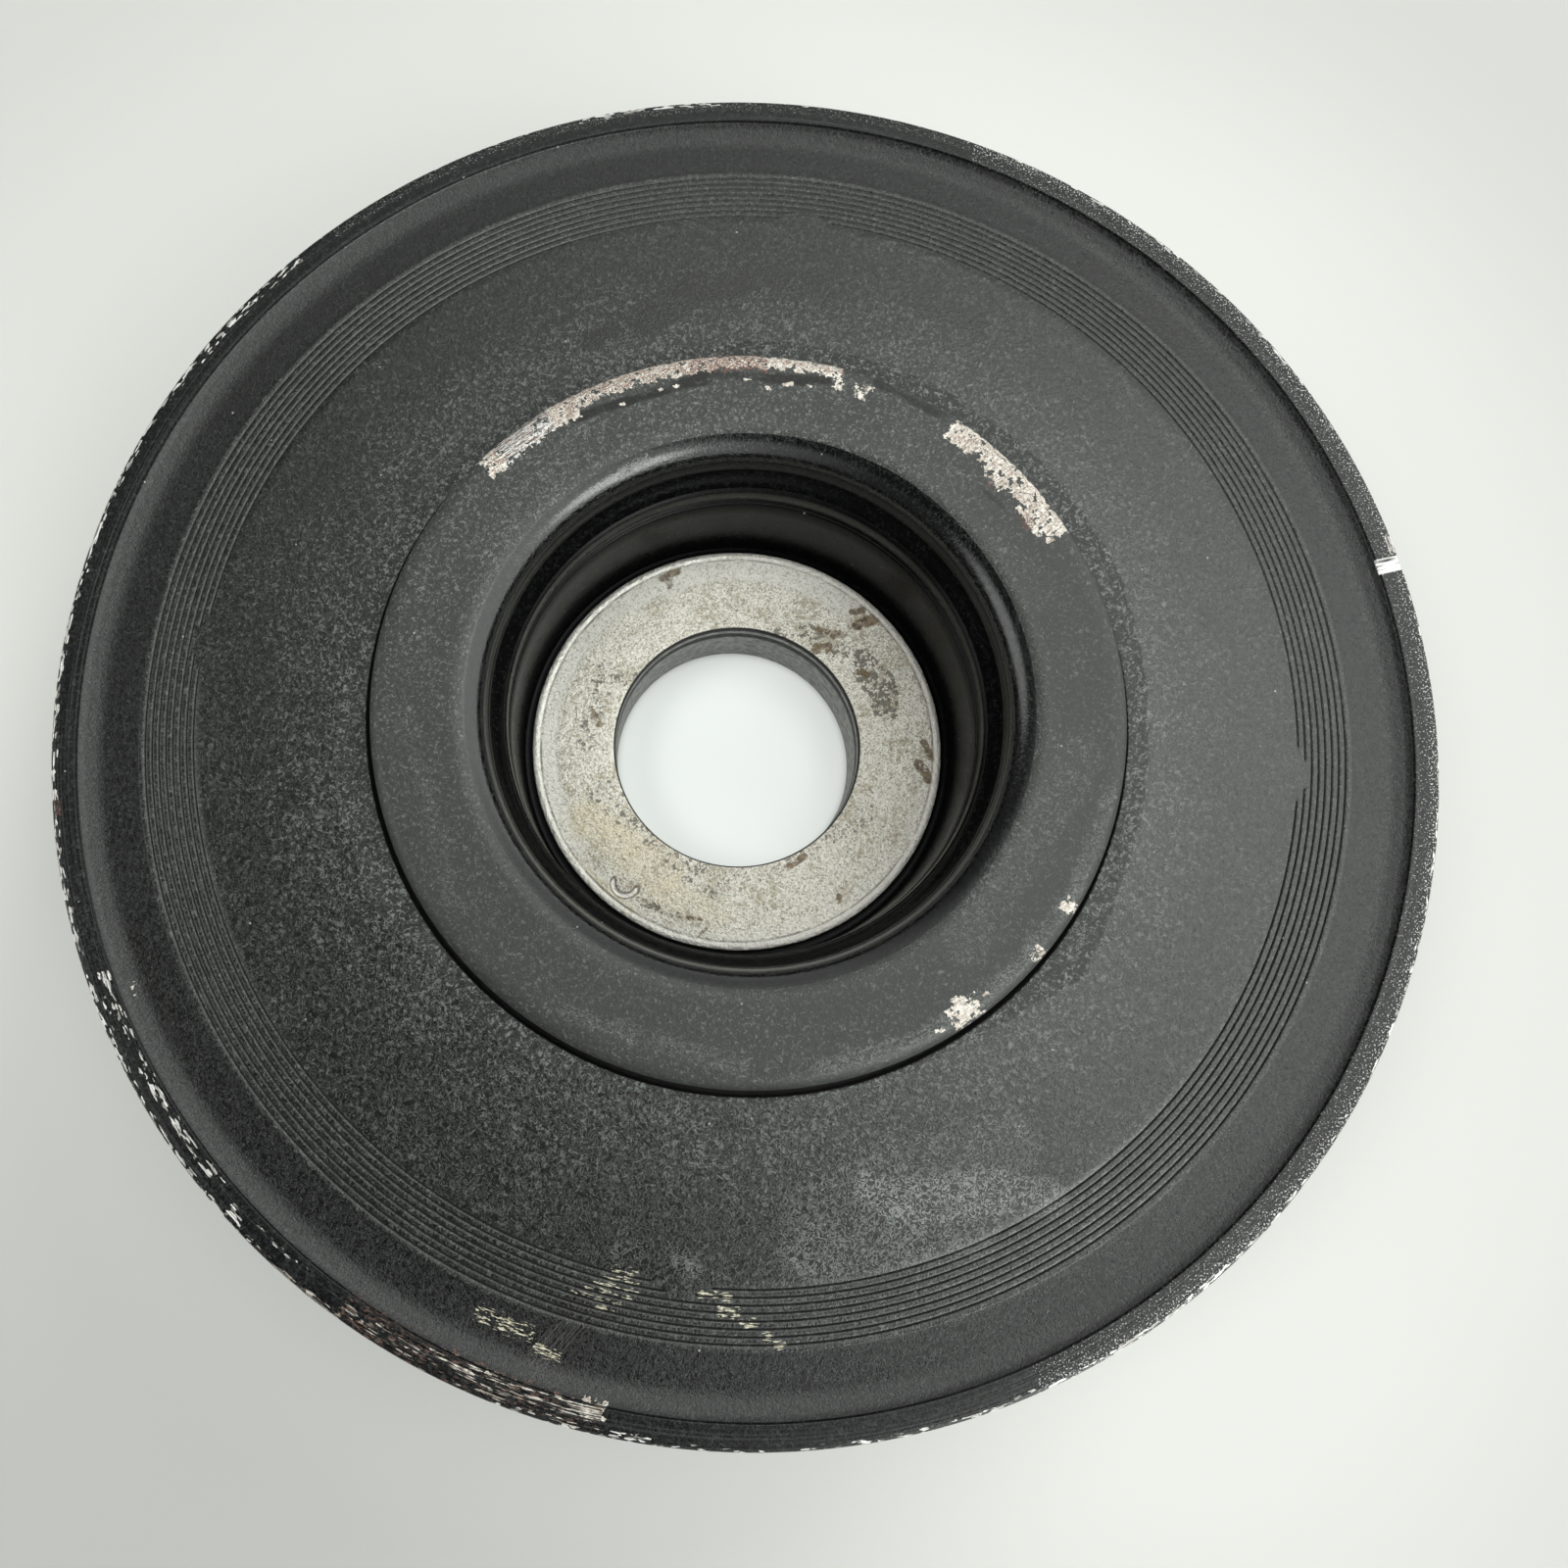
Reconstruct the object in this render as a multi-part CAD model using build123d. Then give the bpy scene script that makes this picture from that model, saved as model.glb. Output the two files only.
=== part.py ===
"""Crankshaft harmonic balancer with a poly-V belt track, in millimetres.

The axis of the crankshaft is Z. The rear face of the hub lies on Z = 0, which is the face
that meets the crankshaft, and the front of the balancer looks towards +Z. X = Y = 0 is the
centre of the bore.

Four pieces: the turned hub, the formed flange plate on its front end, the rubber ring bonded
round the hub, and the heavy pulley ring that the rubber carries.
"""
from build123d import *
import math
import os

# ---- Heights above the rear face of the hub -----------------------------------------------
SEAT_HEIGHT = 11.2          # bolt seat, so also the thickness of the hub's floor
RIM_FRONT = 30.7            # machined front face of the pulley's rim
RING_REAR_GAP = 1.0         # the pulley ring's rear face stands this far in front of the hub's
HUB_END = 26.5              # front end of the hub's wall, where the flange plate sits
FLANGE_FRONT = 33.3         # flat front face of the flange plate

# ---- Bore and bolt seat ---------------------------------------------------------------------
BORE_RADIUS = 16.3
BORE_FRONT_CHAMFER = 0.3
LEAD_IN_LENGTH = 3.1        # conical lead-in at the rear of the bore
LEAD_IN_ANGLE = 4.0         # degrees from the axis
SEAT_RADIUS = 27.3
SEAT_LIP_WIDTH = 1.05       # burnished band at the edge of the seat
SEAT_LIP_FALL = 0.25        # the band falls away by this much
SEAT_GROOVE_WIDTH = 1.3     # relief groove between the seat and the recess wall
SEAT_GROOVE_DEPTH = 1.3

# ---- Hub --------------------------------------------------------------------------------------
RECESS_FOOT_ROUND = 0.8     # where the recess wall meets the floor of the relief groove
HUB_WALL = 7.4
CAP_GROOVE_DROP = 2.3       # snap groove for a dust cap, below the end of the wall
CAP_GROOVE_WIDTH = 0.7
CAP_GROOVE_DEPTH = 0.45
REAR_PAD_INSET = 2.0        # the rear pad is smaller than the hub by this much
REAR_PAD_HEIGHT = 2.0
HUB_EDGE_CHAMFER = 0.6

# ---- Flange plate -----------------------------------------------------------------------------
FLANGE_GAP = 1.0            # between the plate's edge and the hole in the web
FLANGE_THICKNESS = 4.5
FLANGE_EDGE_ROUND = 2.5
FLANGE_BACK_ROUND = 1.0
FLANGE_LIP_ROUND = 4.3      # the plate turns down into the recess with this radius
FLANGE_THROAT_LENGTH = 0.1  # straight throat between the rounded lip and the cone below it
FLANGE_FOOT_STEP = 0.15     # the foot of the collar is this much wider than the recess
FLANGE_CONE_WIDTH = 1.45    # the cone between the foot of the collar and its throat
JOINT_CHAMFER = 0.35        # chamfers of the collar and the hub that form the joint line

# ---- Rubber -----------------------------------------------------------------------------------
RUBBER_THICKNESS = 8.5      # between the hub and the pulley ring's inner sleeve
RUBBER_REAR_RECESS = 2.0    # the rubber's rear end lies inside the pulley ring's
RUBBER_FRONT_GAP = 1.5      # clear space between the rubber and the back of the flange plate
RUBBER_SKIN = 0.2           # moulded skin that lines the hole in the web
FILM_WIDTH = 2.2            # moulding film on the front of the web, round the hole
FILM_THICKNESS = 0.25

# ---- Pulley ring ------------------------------------------------------------------------------
OUTER_RADIUS = 80.0
WEB_DROP = 1.0              # web below the rim's front face
WEB_THICKNESS = 11.0
SLEEVE_WALL = 8.5           # inner sleeve that the rubber is bonded to
RIM_WALL = 12.0
REAR_POCKET_ROUND = 2.0
RIM_LAND = 2.8              # width of the rim's machined face
RIM_STEP = 0.45             # sharp step inside the rim's face
RIM_CHAMFER = 0.45
RIM_INNER_CHAMFER = 0.12
CONE_WIDTH = 2.45           # conical band inside the step
BAND_DROP = 1.2             # smooth turned band below the rim's front face
BAND_WIDTH = 4.17
RIDGE_COUNT = 8             # turned ridges between the smooth band and the web
RIDGE_PITCH = 0.8
RIDGE_DEPTH = 0.14
RIDGE_STEEP_SHARE = 0.2     # share of the pitch taken by each ridge's steep side
BREAK_COUNT = 4             # evenly spaced places where the innermost ridges are broken
BREAK_FIRST_ANGLE = 83.0    # degrees from +X, anticlockwise seen from the front
BREAK_REACH = 1.2           # from the innermost ridge out to each break's point
BREAK_LENGTH = 6.7          # along the innermost ridge
BREAK_ROOT = 0.6            # how far each break's patch reaches down into the web

# ---- Belt track -------------------------------------------------------------------------------
GROOVE_COUNT = 6
GROOVE_PITCH = 3.56         # PK profile
GROOVE_ANGLE = 40.0         # degrees between the flanks
GROOVE_ROOT = 0.8           # flat at the root of each groove
RIB_TIP_LAND = 0.7
TRACK_DROP = 0.8            # rib tips below the side flanges
FLANGE_RUN_OUT = 0.5        # each side flange slopes down to the track over this length

# ---- Timing mark ------------------------------------------------------------------------------
MARK_ANGLE = 12.8           # degrees from +X, anticlockwise seen from the front
MARK_WIDTH = 1.8
MARK_DEPTH = 0.3

# ---- Places worked out from the sizes above -----------------------------------------------------
RECESS_RADIUS = SEAT_RADIUS + SEAT_GROOVE_WIDTH
HUB_RADIUS = RECESS_RADIUS + HUB_WALL
FLANGE_FOOT_RADIUS = RECESS_RADIUS + FLANGE_FOOT_STEP
FLANGE_THROAT_RADIUS = FLANGE_FOOT_RADIUS + FLANGE_CONE_WIDTH
WEB_HOLE_RADIUS = HUB_RADIUS + RUBBER_THICKNESS
FLANGE_RADIUS = WEB_HOLE_RADIUS - FLANGE_GAP
RING_REAR = RING_REAR_GAP
WEB_FRONT = RIM_FRONT - WEB_DROP
BAND_HEIGHT = RIM_FRONT - BAND_DROP
RIM_INNER = OUTER_RADIUS - RIM_LAND
BAND_OUTER = RIM_INNER - CONE_WIDTH
RIDGE_OUTER = BAND_OUTER - BAND_WIDTH
FLANGE_BACK = FLANGE_FRONT - FLANGE_THICKNESS


def turned(corners, rounds=()):
    """Solid turned about Z from (radius, height) corners; rounds are (corner, radius) pairs."""
    outline = Polyline([(radius, 0, height) for radius, height in corners], close=True)
    section = make_face(outline)
    for (radius, height), fillet_radius in rounds:
        corner = section.vertices().sort_by_distance((radius, 0, height))[0]
        section = fillet(corner, fillet_radius)
    return revolve(section, Axis.Z)


def hub():
    """Cup-shaped hub: floor with the bore and bolt seat, and the wall of the bolt recess."""
    lead_in_radius = BORE_RADIUS + LEAD_IN_LENGTH * math.tan(math.radians(LEAD_IN_ANGLE))
    chamfer_radius = BORE_RADIUS + BORE_FRONT_CHAMFER
    lip_inner = SEAT_RADIUS - SEAT_LIP_WIDTH
    lip_height = SEAT_HEIGHT - SEAT_LIP_FALL
    groove_floor = SEAT_HEIGHT - SEAT_GROOVE_DEPTH
    cap_groove_top = HUB_END - CAP_GROOVE_DROP
    cap_groove_middle = cap_groove_top - CAP_GROOVE_WIDTH / 2
    cap_groove_bottom = cap_groove_top - CAP_GROOVE_WIDTH
    pad_radius = HUB_RADIUS - REAR_PAD_INSET
    corners = [
        (lead_in_radius, 0),
        (BORE_RADIUS, LEAD_IN_LENGTH),
        (BORE_RADIUS, SEAT_HEIGHT - BORE_FRONT_CHAMFER),
        (chamfer_radius, SEAT_HEIGHT),
        (lip_inner, SEAT_HEIGHT),
        (SEAT_RADIUS, lip_height),
        (SEAT_RADIUS, groove_floor),
        (RECESS_RADIUS, groove_floor),
        (RECESS_RADIUS, cap_groove_bottom),
        (RECESS_RADIUS + CAP_GROOVE_DEPTH, cap_groove_middle),
        (RECESS_RADIUS, cap_groove_top),
        (RECESS_RADIUS, HUB_END - JOINT_CHAMFER),
        (RECESS_RADIUS + JOINT_CHAMFER, HUB_END),
        (HUB_RADIUS, HUB_END),
        (HUB_RADIUS, REAR_PAD_HEIGHT),
        (pad_radius, REAR_PAD_HEIGHT),
        (pad_radius, HUB_EDGE_CHAMFER),
        (pad_radius - HUB_EDGE_CHAMFER, 0),
    ]
    foot = ((RECESS_RADIUS, groove_floor), RECESS_FOOT_ROUND)
    return turned(corners, [foot])


def hub_flange():
    """Formed plate on the front of the hub, turned down into the bolt recess."""
    collar_radius = FLANGE_THROAT_RADIUS + FLANGE_THICKNESS
    throat_height = FLANGE_FRONT - FLANGE_LIP_ROUND - FLANGE_THROAT_LENGTH
    corners = [
        (FLANGE_FOOT_RADIUS + JOINT_CHAMFER, HUB_END),
        (FLANGE_FOOT_RADIUS, HUB_END + JOINT_CHAMFER),
        (FLANGE_THROAT_RADIUS, throat_height),
        (FLANGE_THROAT_RADIUS, FLANGE_FRONT),
        (FLANGE_RADIUS, FLANGE_FRONT),
        (FLANGE_RADIUS, FLANGE_BACK),
        (collar_radius, FLANGE_BACK),
        (collar_radius, HUB_END),
    ]
    rounds = [
        ((FLANGE_THROAT_RADIUS, FLANGE_FRONT), FLANGE_LIP_ROUND),
        ((FLANGE_RADIUS, FLANGE_FRONT), FLANGE_EDGE_ROUND),
        ((FLANGE_RADIUS, FLANGE_BACK), FLANGE_BACK_ROUND),
        ((collar_radius, FLANGE_BACK), FLANGE_BACK_ROUND),
    ]
    return turned(corners, rounds)


def rubber_ring():
    """Rubber bonded between hub and ring, with the thin film that moulding left on the web."""
    front = FLANGE_BACK - RUBBER_FRONT_GAP
    rear = RING_REAR + RUBBER_REAR_RECESS
    skin_radius = WEB_HOLE_RADIUS - RUBBER_SKIN
    film_top = WEB_FRONT + FILM_THICKNESS
    film_radius = WEB_HOLE_RADIUS + FILM_WIDTH
    corners = [
        (HUB_RADIUS, rear),
        (WEB_HOLE_RADIUS, rear),
        (WEB_HOLE_RADIUS, WEB_FRONT),
        (film_radius, WEB_FRONT),
        (film_radius - FILM_THICKNESS, film_top),
        (skin_radius, film_top),
        (skin_radius, front),
        (HUB_RADIUS, front),
    ]
    return turned(corners)


def ridge_corners():
    """Corners of the turned ridges, from the smooth band inwards to the web."""
    rise = (WEB_FRONT - BAND_HEIGHT) / RIDGE_COUNT
    steep = RIDGE_PITCH * RIDGE_STEEP_SHARE
    corners = []
    for ridge in range(RIDGE_COUNT):
        outer = RIDGE_OUTER - ridge * RIDGE_PITCH
        root = outer - RIDGE_PITCH + steep
        crest_height = BAND_HEIGHT + ridge * rise
        corners.append((outer, crest_height))
        corners.append((root, crest_height - RIDGE_DEPTH))
    corners.append((RIDGE_OUTER - RIDGE_COUNT * RIDGE_PITCH, WEB_FRONT))
    return corners


def ridge_break(angle):
    """Pointed patch of the web that fills the innermost ridges at one angle."""
    inner = RIDGE_OUTER - RIDGE_COUNT * RIDGE_PITCH
    tip = inner + BREAK_REACH
    base = inner - RIDGE_PITCH / 2
    corners = [(tip, 0), (inner, BREAK_LENGTH / 2), (base, 0), (inner, -BREAK_LENGTH / 2)]
    outline = make_face(Polyline(corners, close=True))
    patch = extrude(Pos(0, 0, WEB_FRONT - BREAK_ROOT) * outline, amount=BREAK_ROOT)
    return Rot(0, 0, angle) * patch


def track_corners():
    """Corners of the outside of the rim, from the front edge back to the rear edge."""
    tip_radius = OUTER_RADIUS - TRACK_DROP
    mouth = GROOVE_PITCH - RIB_TIP_LAND
    depth = (mouth - GROOVE_ROOT) / 2 / math.tan(math.radians(GROOVE_ANGLE / 2))
    root_radius = tip_radius - depth
    middle = (RIM_FRONT + RING_REAR) / 2
    half_track = GROOVE_COUNT * GROOVE_PITCH / 2 + RIB_TIP_LAND / 2
    corners = [
        (OUTER_RADIUS - RIM_CHAMFER, RIM_FRONT),
        (OUTER_RADIUS, RIM_FRONT - RIM_CHAMFER),
        (OUTER_RADIUS, middle + half_track + FLANGE_RUN_OUT),
        (tip_radius, middle + half_track),
    ]
    for groove in range(GROOVE_COUNT):
        centre = middle + (GROOVE_COUNT / 2 - 0.5 - groove) * GROOVE_PITCH
        corners.append((tip_radius, centre + mouth / 2))
        corners.append((root_radius, centre + GROOVE_ROOT / 2))
        corners.append((root_radius, centre - GROOVE_ROOT / 2))
        corners.append((tip_radius, centre - mouth / 2))
    corners += [
        (tip_radius, middle - half_track),
        (OUTER_RADIUS, middle - half_track - FLANGE_RUN_OUT),
        (OUTER_RADIUS, RING_REAR + RIM_CHAMFER),
        (OUTER_RADIUS - RIM_CHAMFER, RING_REAR),
    ]
    return corners


def pulley_ring():
    """Heavy ring: web with turned ridges, sleeve for the rubber, and rim with the belt track."""
    pocket_floor = WEB_FRONT - WEB_THICKNESS
    pocket_inner = WEB_HOLE_RADIUS + SLEEVE_WALL
    pocket_outer = OUTER_RADIUS - RIM_WALL
    corners = [(WEB_HOLE_RADIUS, WEB_FRONT)]
    corners += reversed(ridge_corners())
    corners += [
        (BAND_OUTER, BAND_HEIGHT),
        (RIM_INNER, RIM_FRONT - RIM_STEP),
        (RIM_INNER, RIM_FRONT - RIM_INNER_CHAMFER),
        (RIM_INNER + RIM_INNER_CHAMFER, RIM_FRONT),
    ]
    corners += track_corners()
    corners += [
        (pocket_outer, RING_REAR),
        (pocket_outer, pocket_floor),
        (pocket_inner, pocket_floor),
        (pocket_inner, RING_REAR),
        (WEB_HOLE_RADIUS, RING_REAR),
    ]
    rounds = [
        ((pocket_outer, pocket_floor), REAR_POCKET_ROUND),
        ((pocket_inner, pocket_floor), REAR_POCKET_ROUND),
    ]
    ring = turned(corners, rounds)
    for place in range(BREAK_COUNT):
        ring += ridge_break(BREAK_FIRST_ANGLE + place * 360 / BREAK_COUNT)
    cutter = Pos(RIM_INNER + RIM_LAND / 2, 0, RIM_FRONT) * Box(2 * RIM_LAND, MARK_WIDTH, 2 * MARK_DEPTH)
    return ring - Rot(0, 0, MARK_ANGLE) * cutter


def main():
    """Write each piece to its own STEP file."""
    pieces = {
        "hub": hub(),
        "hub_flange": hub_flange(),
        "rubber_ring": rubber_ring(),
        "pulley_ring": pulley_ring(),
    }
    os.makedirs("parts", exist_ok=True)
    for name, piece in pieces.items():
        solids = piece.solids()
        print(name, "solids", len(solids), "volume", round(sum(s.volume for s in solids), 1))
        export_step(piece, f"parts/{name}.step")


main()
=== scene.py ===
"""Looks of the harmonic balancer: turned pieces with worn satin black paint round a bare steel seat.

Sizes in this file are millimetres in the part's own frame. MM turns them into Blender's metres.
"""
import math

import bmesh
import bpy
import numpy as np
from mathutils import Matrix, Vector


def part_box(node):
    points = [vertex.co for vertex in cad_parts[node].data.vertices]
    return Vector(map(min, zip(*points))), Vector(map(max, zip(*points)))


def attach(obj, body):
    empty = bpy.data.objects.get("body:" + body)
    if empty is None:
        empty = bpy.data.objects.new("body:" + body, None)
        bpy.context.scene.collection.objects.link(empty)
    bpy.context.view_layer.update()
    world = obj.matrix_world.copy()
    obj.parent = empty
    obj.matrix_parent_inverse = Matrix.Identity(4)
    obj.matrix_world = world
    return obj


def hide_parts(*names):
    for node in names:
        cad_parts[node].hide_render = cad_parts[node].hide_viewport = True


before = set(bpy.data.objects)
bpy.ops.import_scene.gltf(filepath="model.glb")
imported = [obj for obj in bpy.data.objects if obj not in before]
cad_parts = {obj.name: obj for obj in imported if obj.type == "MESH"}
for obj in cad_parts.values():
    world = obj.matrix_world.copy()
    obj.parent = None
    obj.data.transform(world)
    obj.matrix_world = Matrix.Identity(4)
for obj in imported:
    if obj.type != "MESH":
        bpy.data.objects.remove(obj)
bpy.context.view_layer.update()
MM = 0.001

# ---- Places: heights from the frame, radii as in the source ----


def heights(node):
    """(lowest, highest) height of a CAD node."""
    low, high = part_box(node)
    return low.z / MM, high.z / MM


RING_REAR, RIM_FRONT = heights("pulley_ring")
HUB_END, FLANGE_FRONT = heights("hub_flange")
HUB_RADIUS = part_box("hub")[1].y / MM
OUTER_RADIUS = 80.0
FLANGE_RADIUS = 43.5
WEB_FRONT = RIM_FRONT - 1.0
BAND_HEIGHT = RIM_FRONT - 1.2
RIM_INNER = OUTER_RADIUS - 2.8
BAND_OUTER = RIM_INNER - 2.45
RIDGE_OUTER = BAND_OUTER - 4.17
RIDGE_COUNT = 8
RIDGE_PITCH = 0.8
RIDGE_DEPTH = 0.24
RIDGE_INNER = RIDGE_OUTER - RIDGE_COUNT * RIDGE_PITCH
WEB_HOLE_RADIUS = FLANGE_RADIUS + 1.0
SEAT_HEIGHT = 11.2
SEAT_RADIUS = 27.3
RECESS_RADIUS = 28.6
BORE_RADIUS = 16.3
BREAK_ANGLES = [83.0 + 90 * k for k in range(4)]
FAINT_ANGLE = 47.0
MARK_ANGLE = 12.8
MARK_WIDTH = 1.8


# ---- Numbers that repeat each run ----
def ripple(angle, seed, waves):
    """Smooth irregular curve round the axis, about -1 to 1, from sines of the given wave counts."""
    rng = np.random.default_rng(seed)
    total = np.zeros_like(angle)
    for wave in waves:
        total += rng.normal() * np.sin(np.radians(angle) * wave + rng.random() * 2 * math.pi)
    return total / math.sqrt(len(waves))


def in_scene(name, data):
    """New object that the scene holds."""
    made = bpy.data.objects.new(name, data)
    bpy.context.scene.collection.objects.link(made)
    return made


# ---- Turned meshes ----
def rounded(corners):
    """Closed profile from (radius, height, cut, steps) corners, each rounded off over its cut."""
    points = []
    count = len(corners)
    for k, (r, z, cut, steps) in enumerate(corners):
        here = np.array([r, z], float)
        before = np.array(corners[k - 1][:2], float) - here
        after = np.array(corners[(k + 1) % count][:2], float) - here
        if cut == 0:
            points.append(here)
            continue
        start = here + before / np.linalg.norm(before) * cut
        end = here + after / np.linalg.norm(after) * cut
        for t in np.linspace(0, 1, steps + 1):
            points.append((1 - t) ** 2 * start + 2 * t * (1 - t) * here + t * t * end)
    return np.array(points)


def spaced(points, step_at):
    """Profile with more points, so that no stretch is longer than step_at(radius, height)."""
    made = []
    for k, here in enumerate(points):
        after = points[(k + 1) % len(points)]
        middle = (here + after) / 2
        parts = max(1, math.ceil(np.linalg.norm(after - here) / step_at(*middle)))
        made += [here + (after - here) * n / parts for n in range(parts)]
    return np.array(made)


def angles_with(places, base, half, fine):
    """Angles every base degrees, and every fine degrees within half of each place."""
    found = list(np.arange(0, 360, base))
    for place in places:
        found += list((place + np.arange(-half, half + fine / 2, fine)) % 360)
    return np.unique(np.round(found, 4))


def lathe(name, profile, levels, level_at=None, shape=None):
    """Closed mesh turned about Z. Levels are lists of angles, each holding the one before it,
    and level_at(radius, height) says which one a row of the profile has."""
    rows, angle, radius, height = [], [], [], []
    for r, z in profile:
        row = levels[level_at(r, z) if level_at else 0]
        rows.append((len(angle), row))
        angle += list(row)
        radius += [r] * len(row)
        height += [z] * len(row)
    angle, radius, height = (np.array(a, float) for a in (angle, radius, height))
    if shape:
        radius, height = shape(angle, radius, height)
    turn = np.radians(angle)
    points = np.stack([radius * np.cos(turn), radius * np.sin(turn), height], 1) * MM
    faces = []
    for k, (start, row) in enumerate(rows):
        other_start, other = rows[(k + 1) % len(rows)]
        if row is other:
            n = len(row)
            for i in range(n):
                j = (i + 1) % n
                faces.append((start + i, start + j, other_start + j, other_start + i))
            continue
        many, many_start, few, few_start = (
            (row, start, other, other_start) if len(row) > len(other) else (other, other_start, row, start))
        place = {value: i for i, value in enumerate(many)}
        spots = [place[value] for value in few]
        for i in range(len(few)):
            j = (i + 1) % len(few)
            a, b = spots[i], spots[j] if j else spots[j] + len(many)
            line = [many_start + m % len(many) for m in range(a, b + 1)]
            faces.append(tuple(line + [few_start + j, few_start + i]))
    mesh = bpy.data.meshes.new(name)
    mesh.from_pydata(points.tolist(), [], faces)
    work = bmesh.new()
    work.from_mesh(mesh)
    bmesh.ops.recalc_face_normals(work, faces=work.faces)
    work.to_mesh(mesh)
    work.free()
    mesh.polygons.foreach_set("use_smooth", [True] * len(mesh.polygons))
    mesh.set_sharp_from_angle(angle=math.radians(38))
    return in_scene(name, mesh)


def polar_of(piece):
    """(angle in degrees, radius, height) of each vertex of a piece."""
    co = np.empty(len(piece.data.vertices) * 3, np.float32)
    piece.data.vertices.foreach_get("co", co)
    x, y, z = (co.reshape(-1, 3).astype(float) / MM).T
    return np.degrees(np.arctan2(y, x)) % 360, np.hypot(x, y), z


def paint_fields(piece, where, **fields):
    """Stores one number a vertex for each name, 0 outside where. The materials read them by name."""
    for name, values in fields.items():
        layer = piece.data.attributes.new(name, "FLOAT", "POINT")
        layer.data.foreach_set("value", np.asarray(values * where, np.float32))


def gap_between(a, b):
    """Signed angle from b to a, from -180 to 180 degrees."""
    return (a - b + 180) % 360 - 180


def strokes(angle, radius, marks):
    """Field of brush strokes, 1 inside and 0 well outside, from marks of
    (from angle, from radius, to angle, to radius, half width, strength)."""
    field = np.zeros_like(angle)
    x, y = radius * np.cos(np.radians(angle)), radius * np.sin(np.radians(angle))
    for a0, r0, a1, r1, half, strength in marks:
        ends = np.array([[r * math.cos(math.radians(a)), r * math.sin(math.radians(a))]
                         for a, r in ((a0, r0), (a1, r1))])
        span = ends[1] - ends[0]
        t = ((x - ends[0, 0]) * span[0] + (y - ends[0, 1]) * span[1]) / max(span @ span, 1e-9)
        t = np.clip(t, 0, 1)
        away = np.hypot(x - ends[0, 0] - t * span[0], y - ends[0, 1] - t * span[1])
        field = np.maximum(field, strength * np.clip(1 - (away - half) / half, 0, 1))
    return field


def arcs(angle, radius, marks):
    """Field of curved patches, 1 inside and falling to 0 outside, from marks of
    (from angle, to angle, inner radius, outer radius, soft edge, strength)."""
    field = np.zeros_like(angle)
    for a0, a1, r0, r1, soft, strength in marks:
        middle, half = (a0 + a1) / 2, (a1 - a0) / 2
        along = (half - np.abs(gap_between(angle, middle))) * np.radians(1) * radius
        across = np.minimum(radius - r0, r1 - radius)
        inside = np.minimum(along, across)
        field = np.maximum(field, strength * np.clip(1 + inside / soft, 0, 1))
    return field


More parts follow.
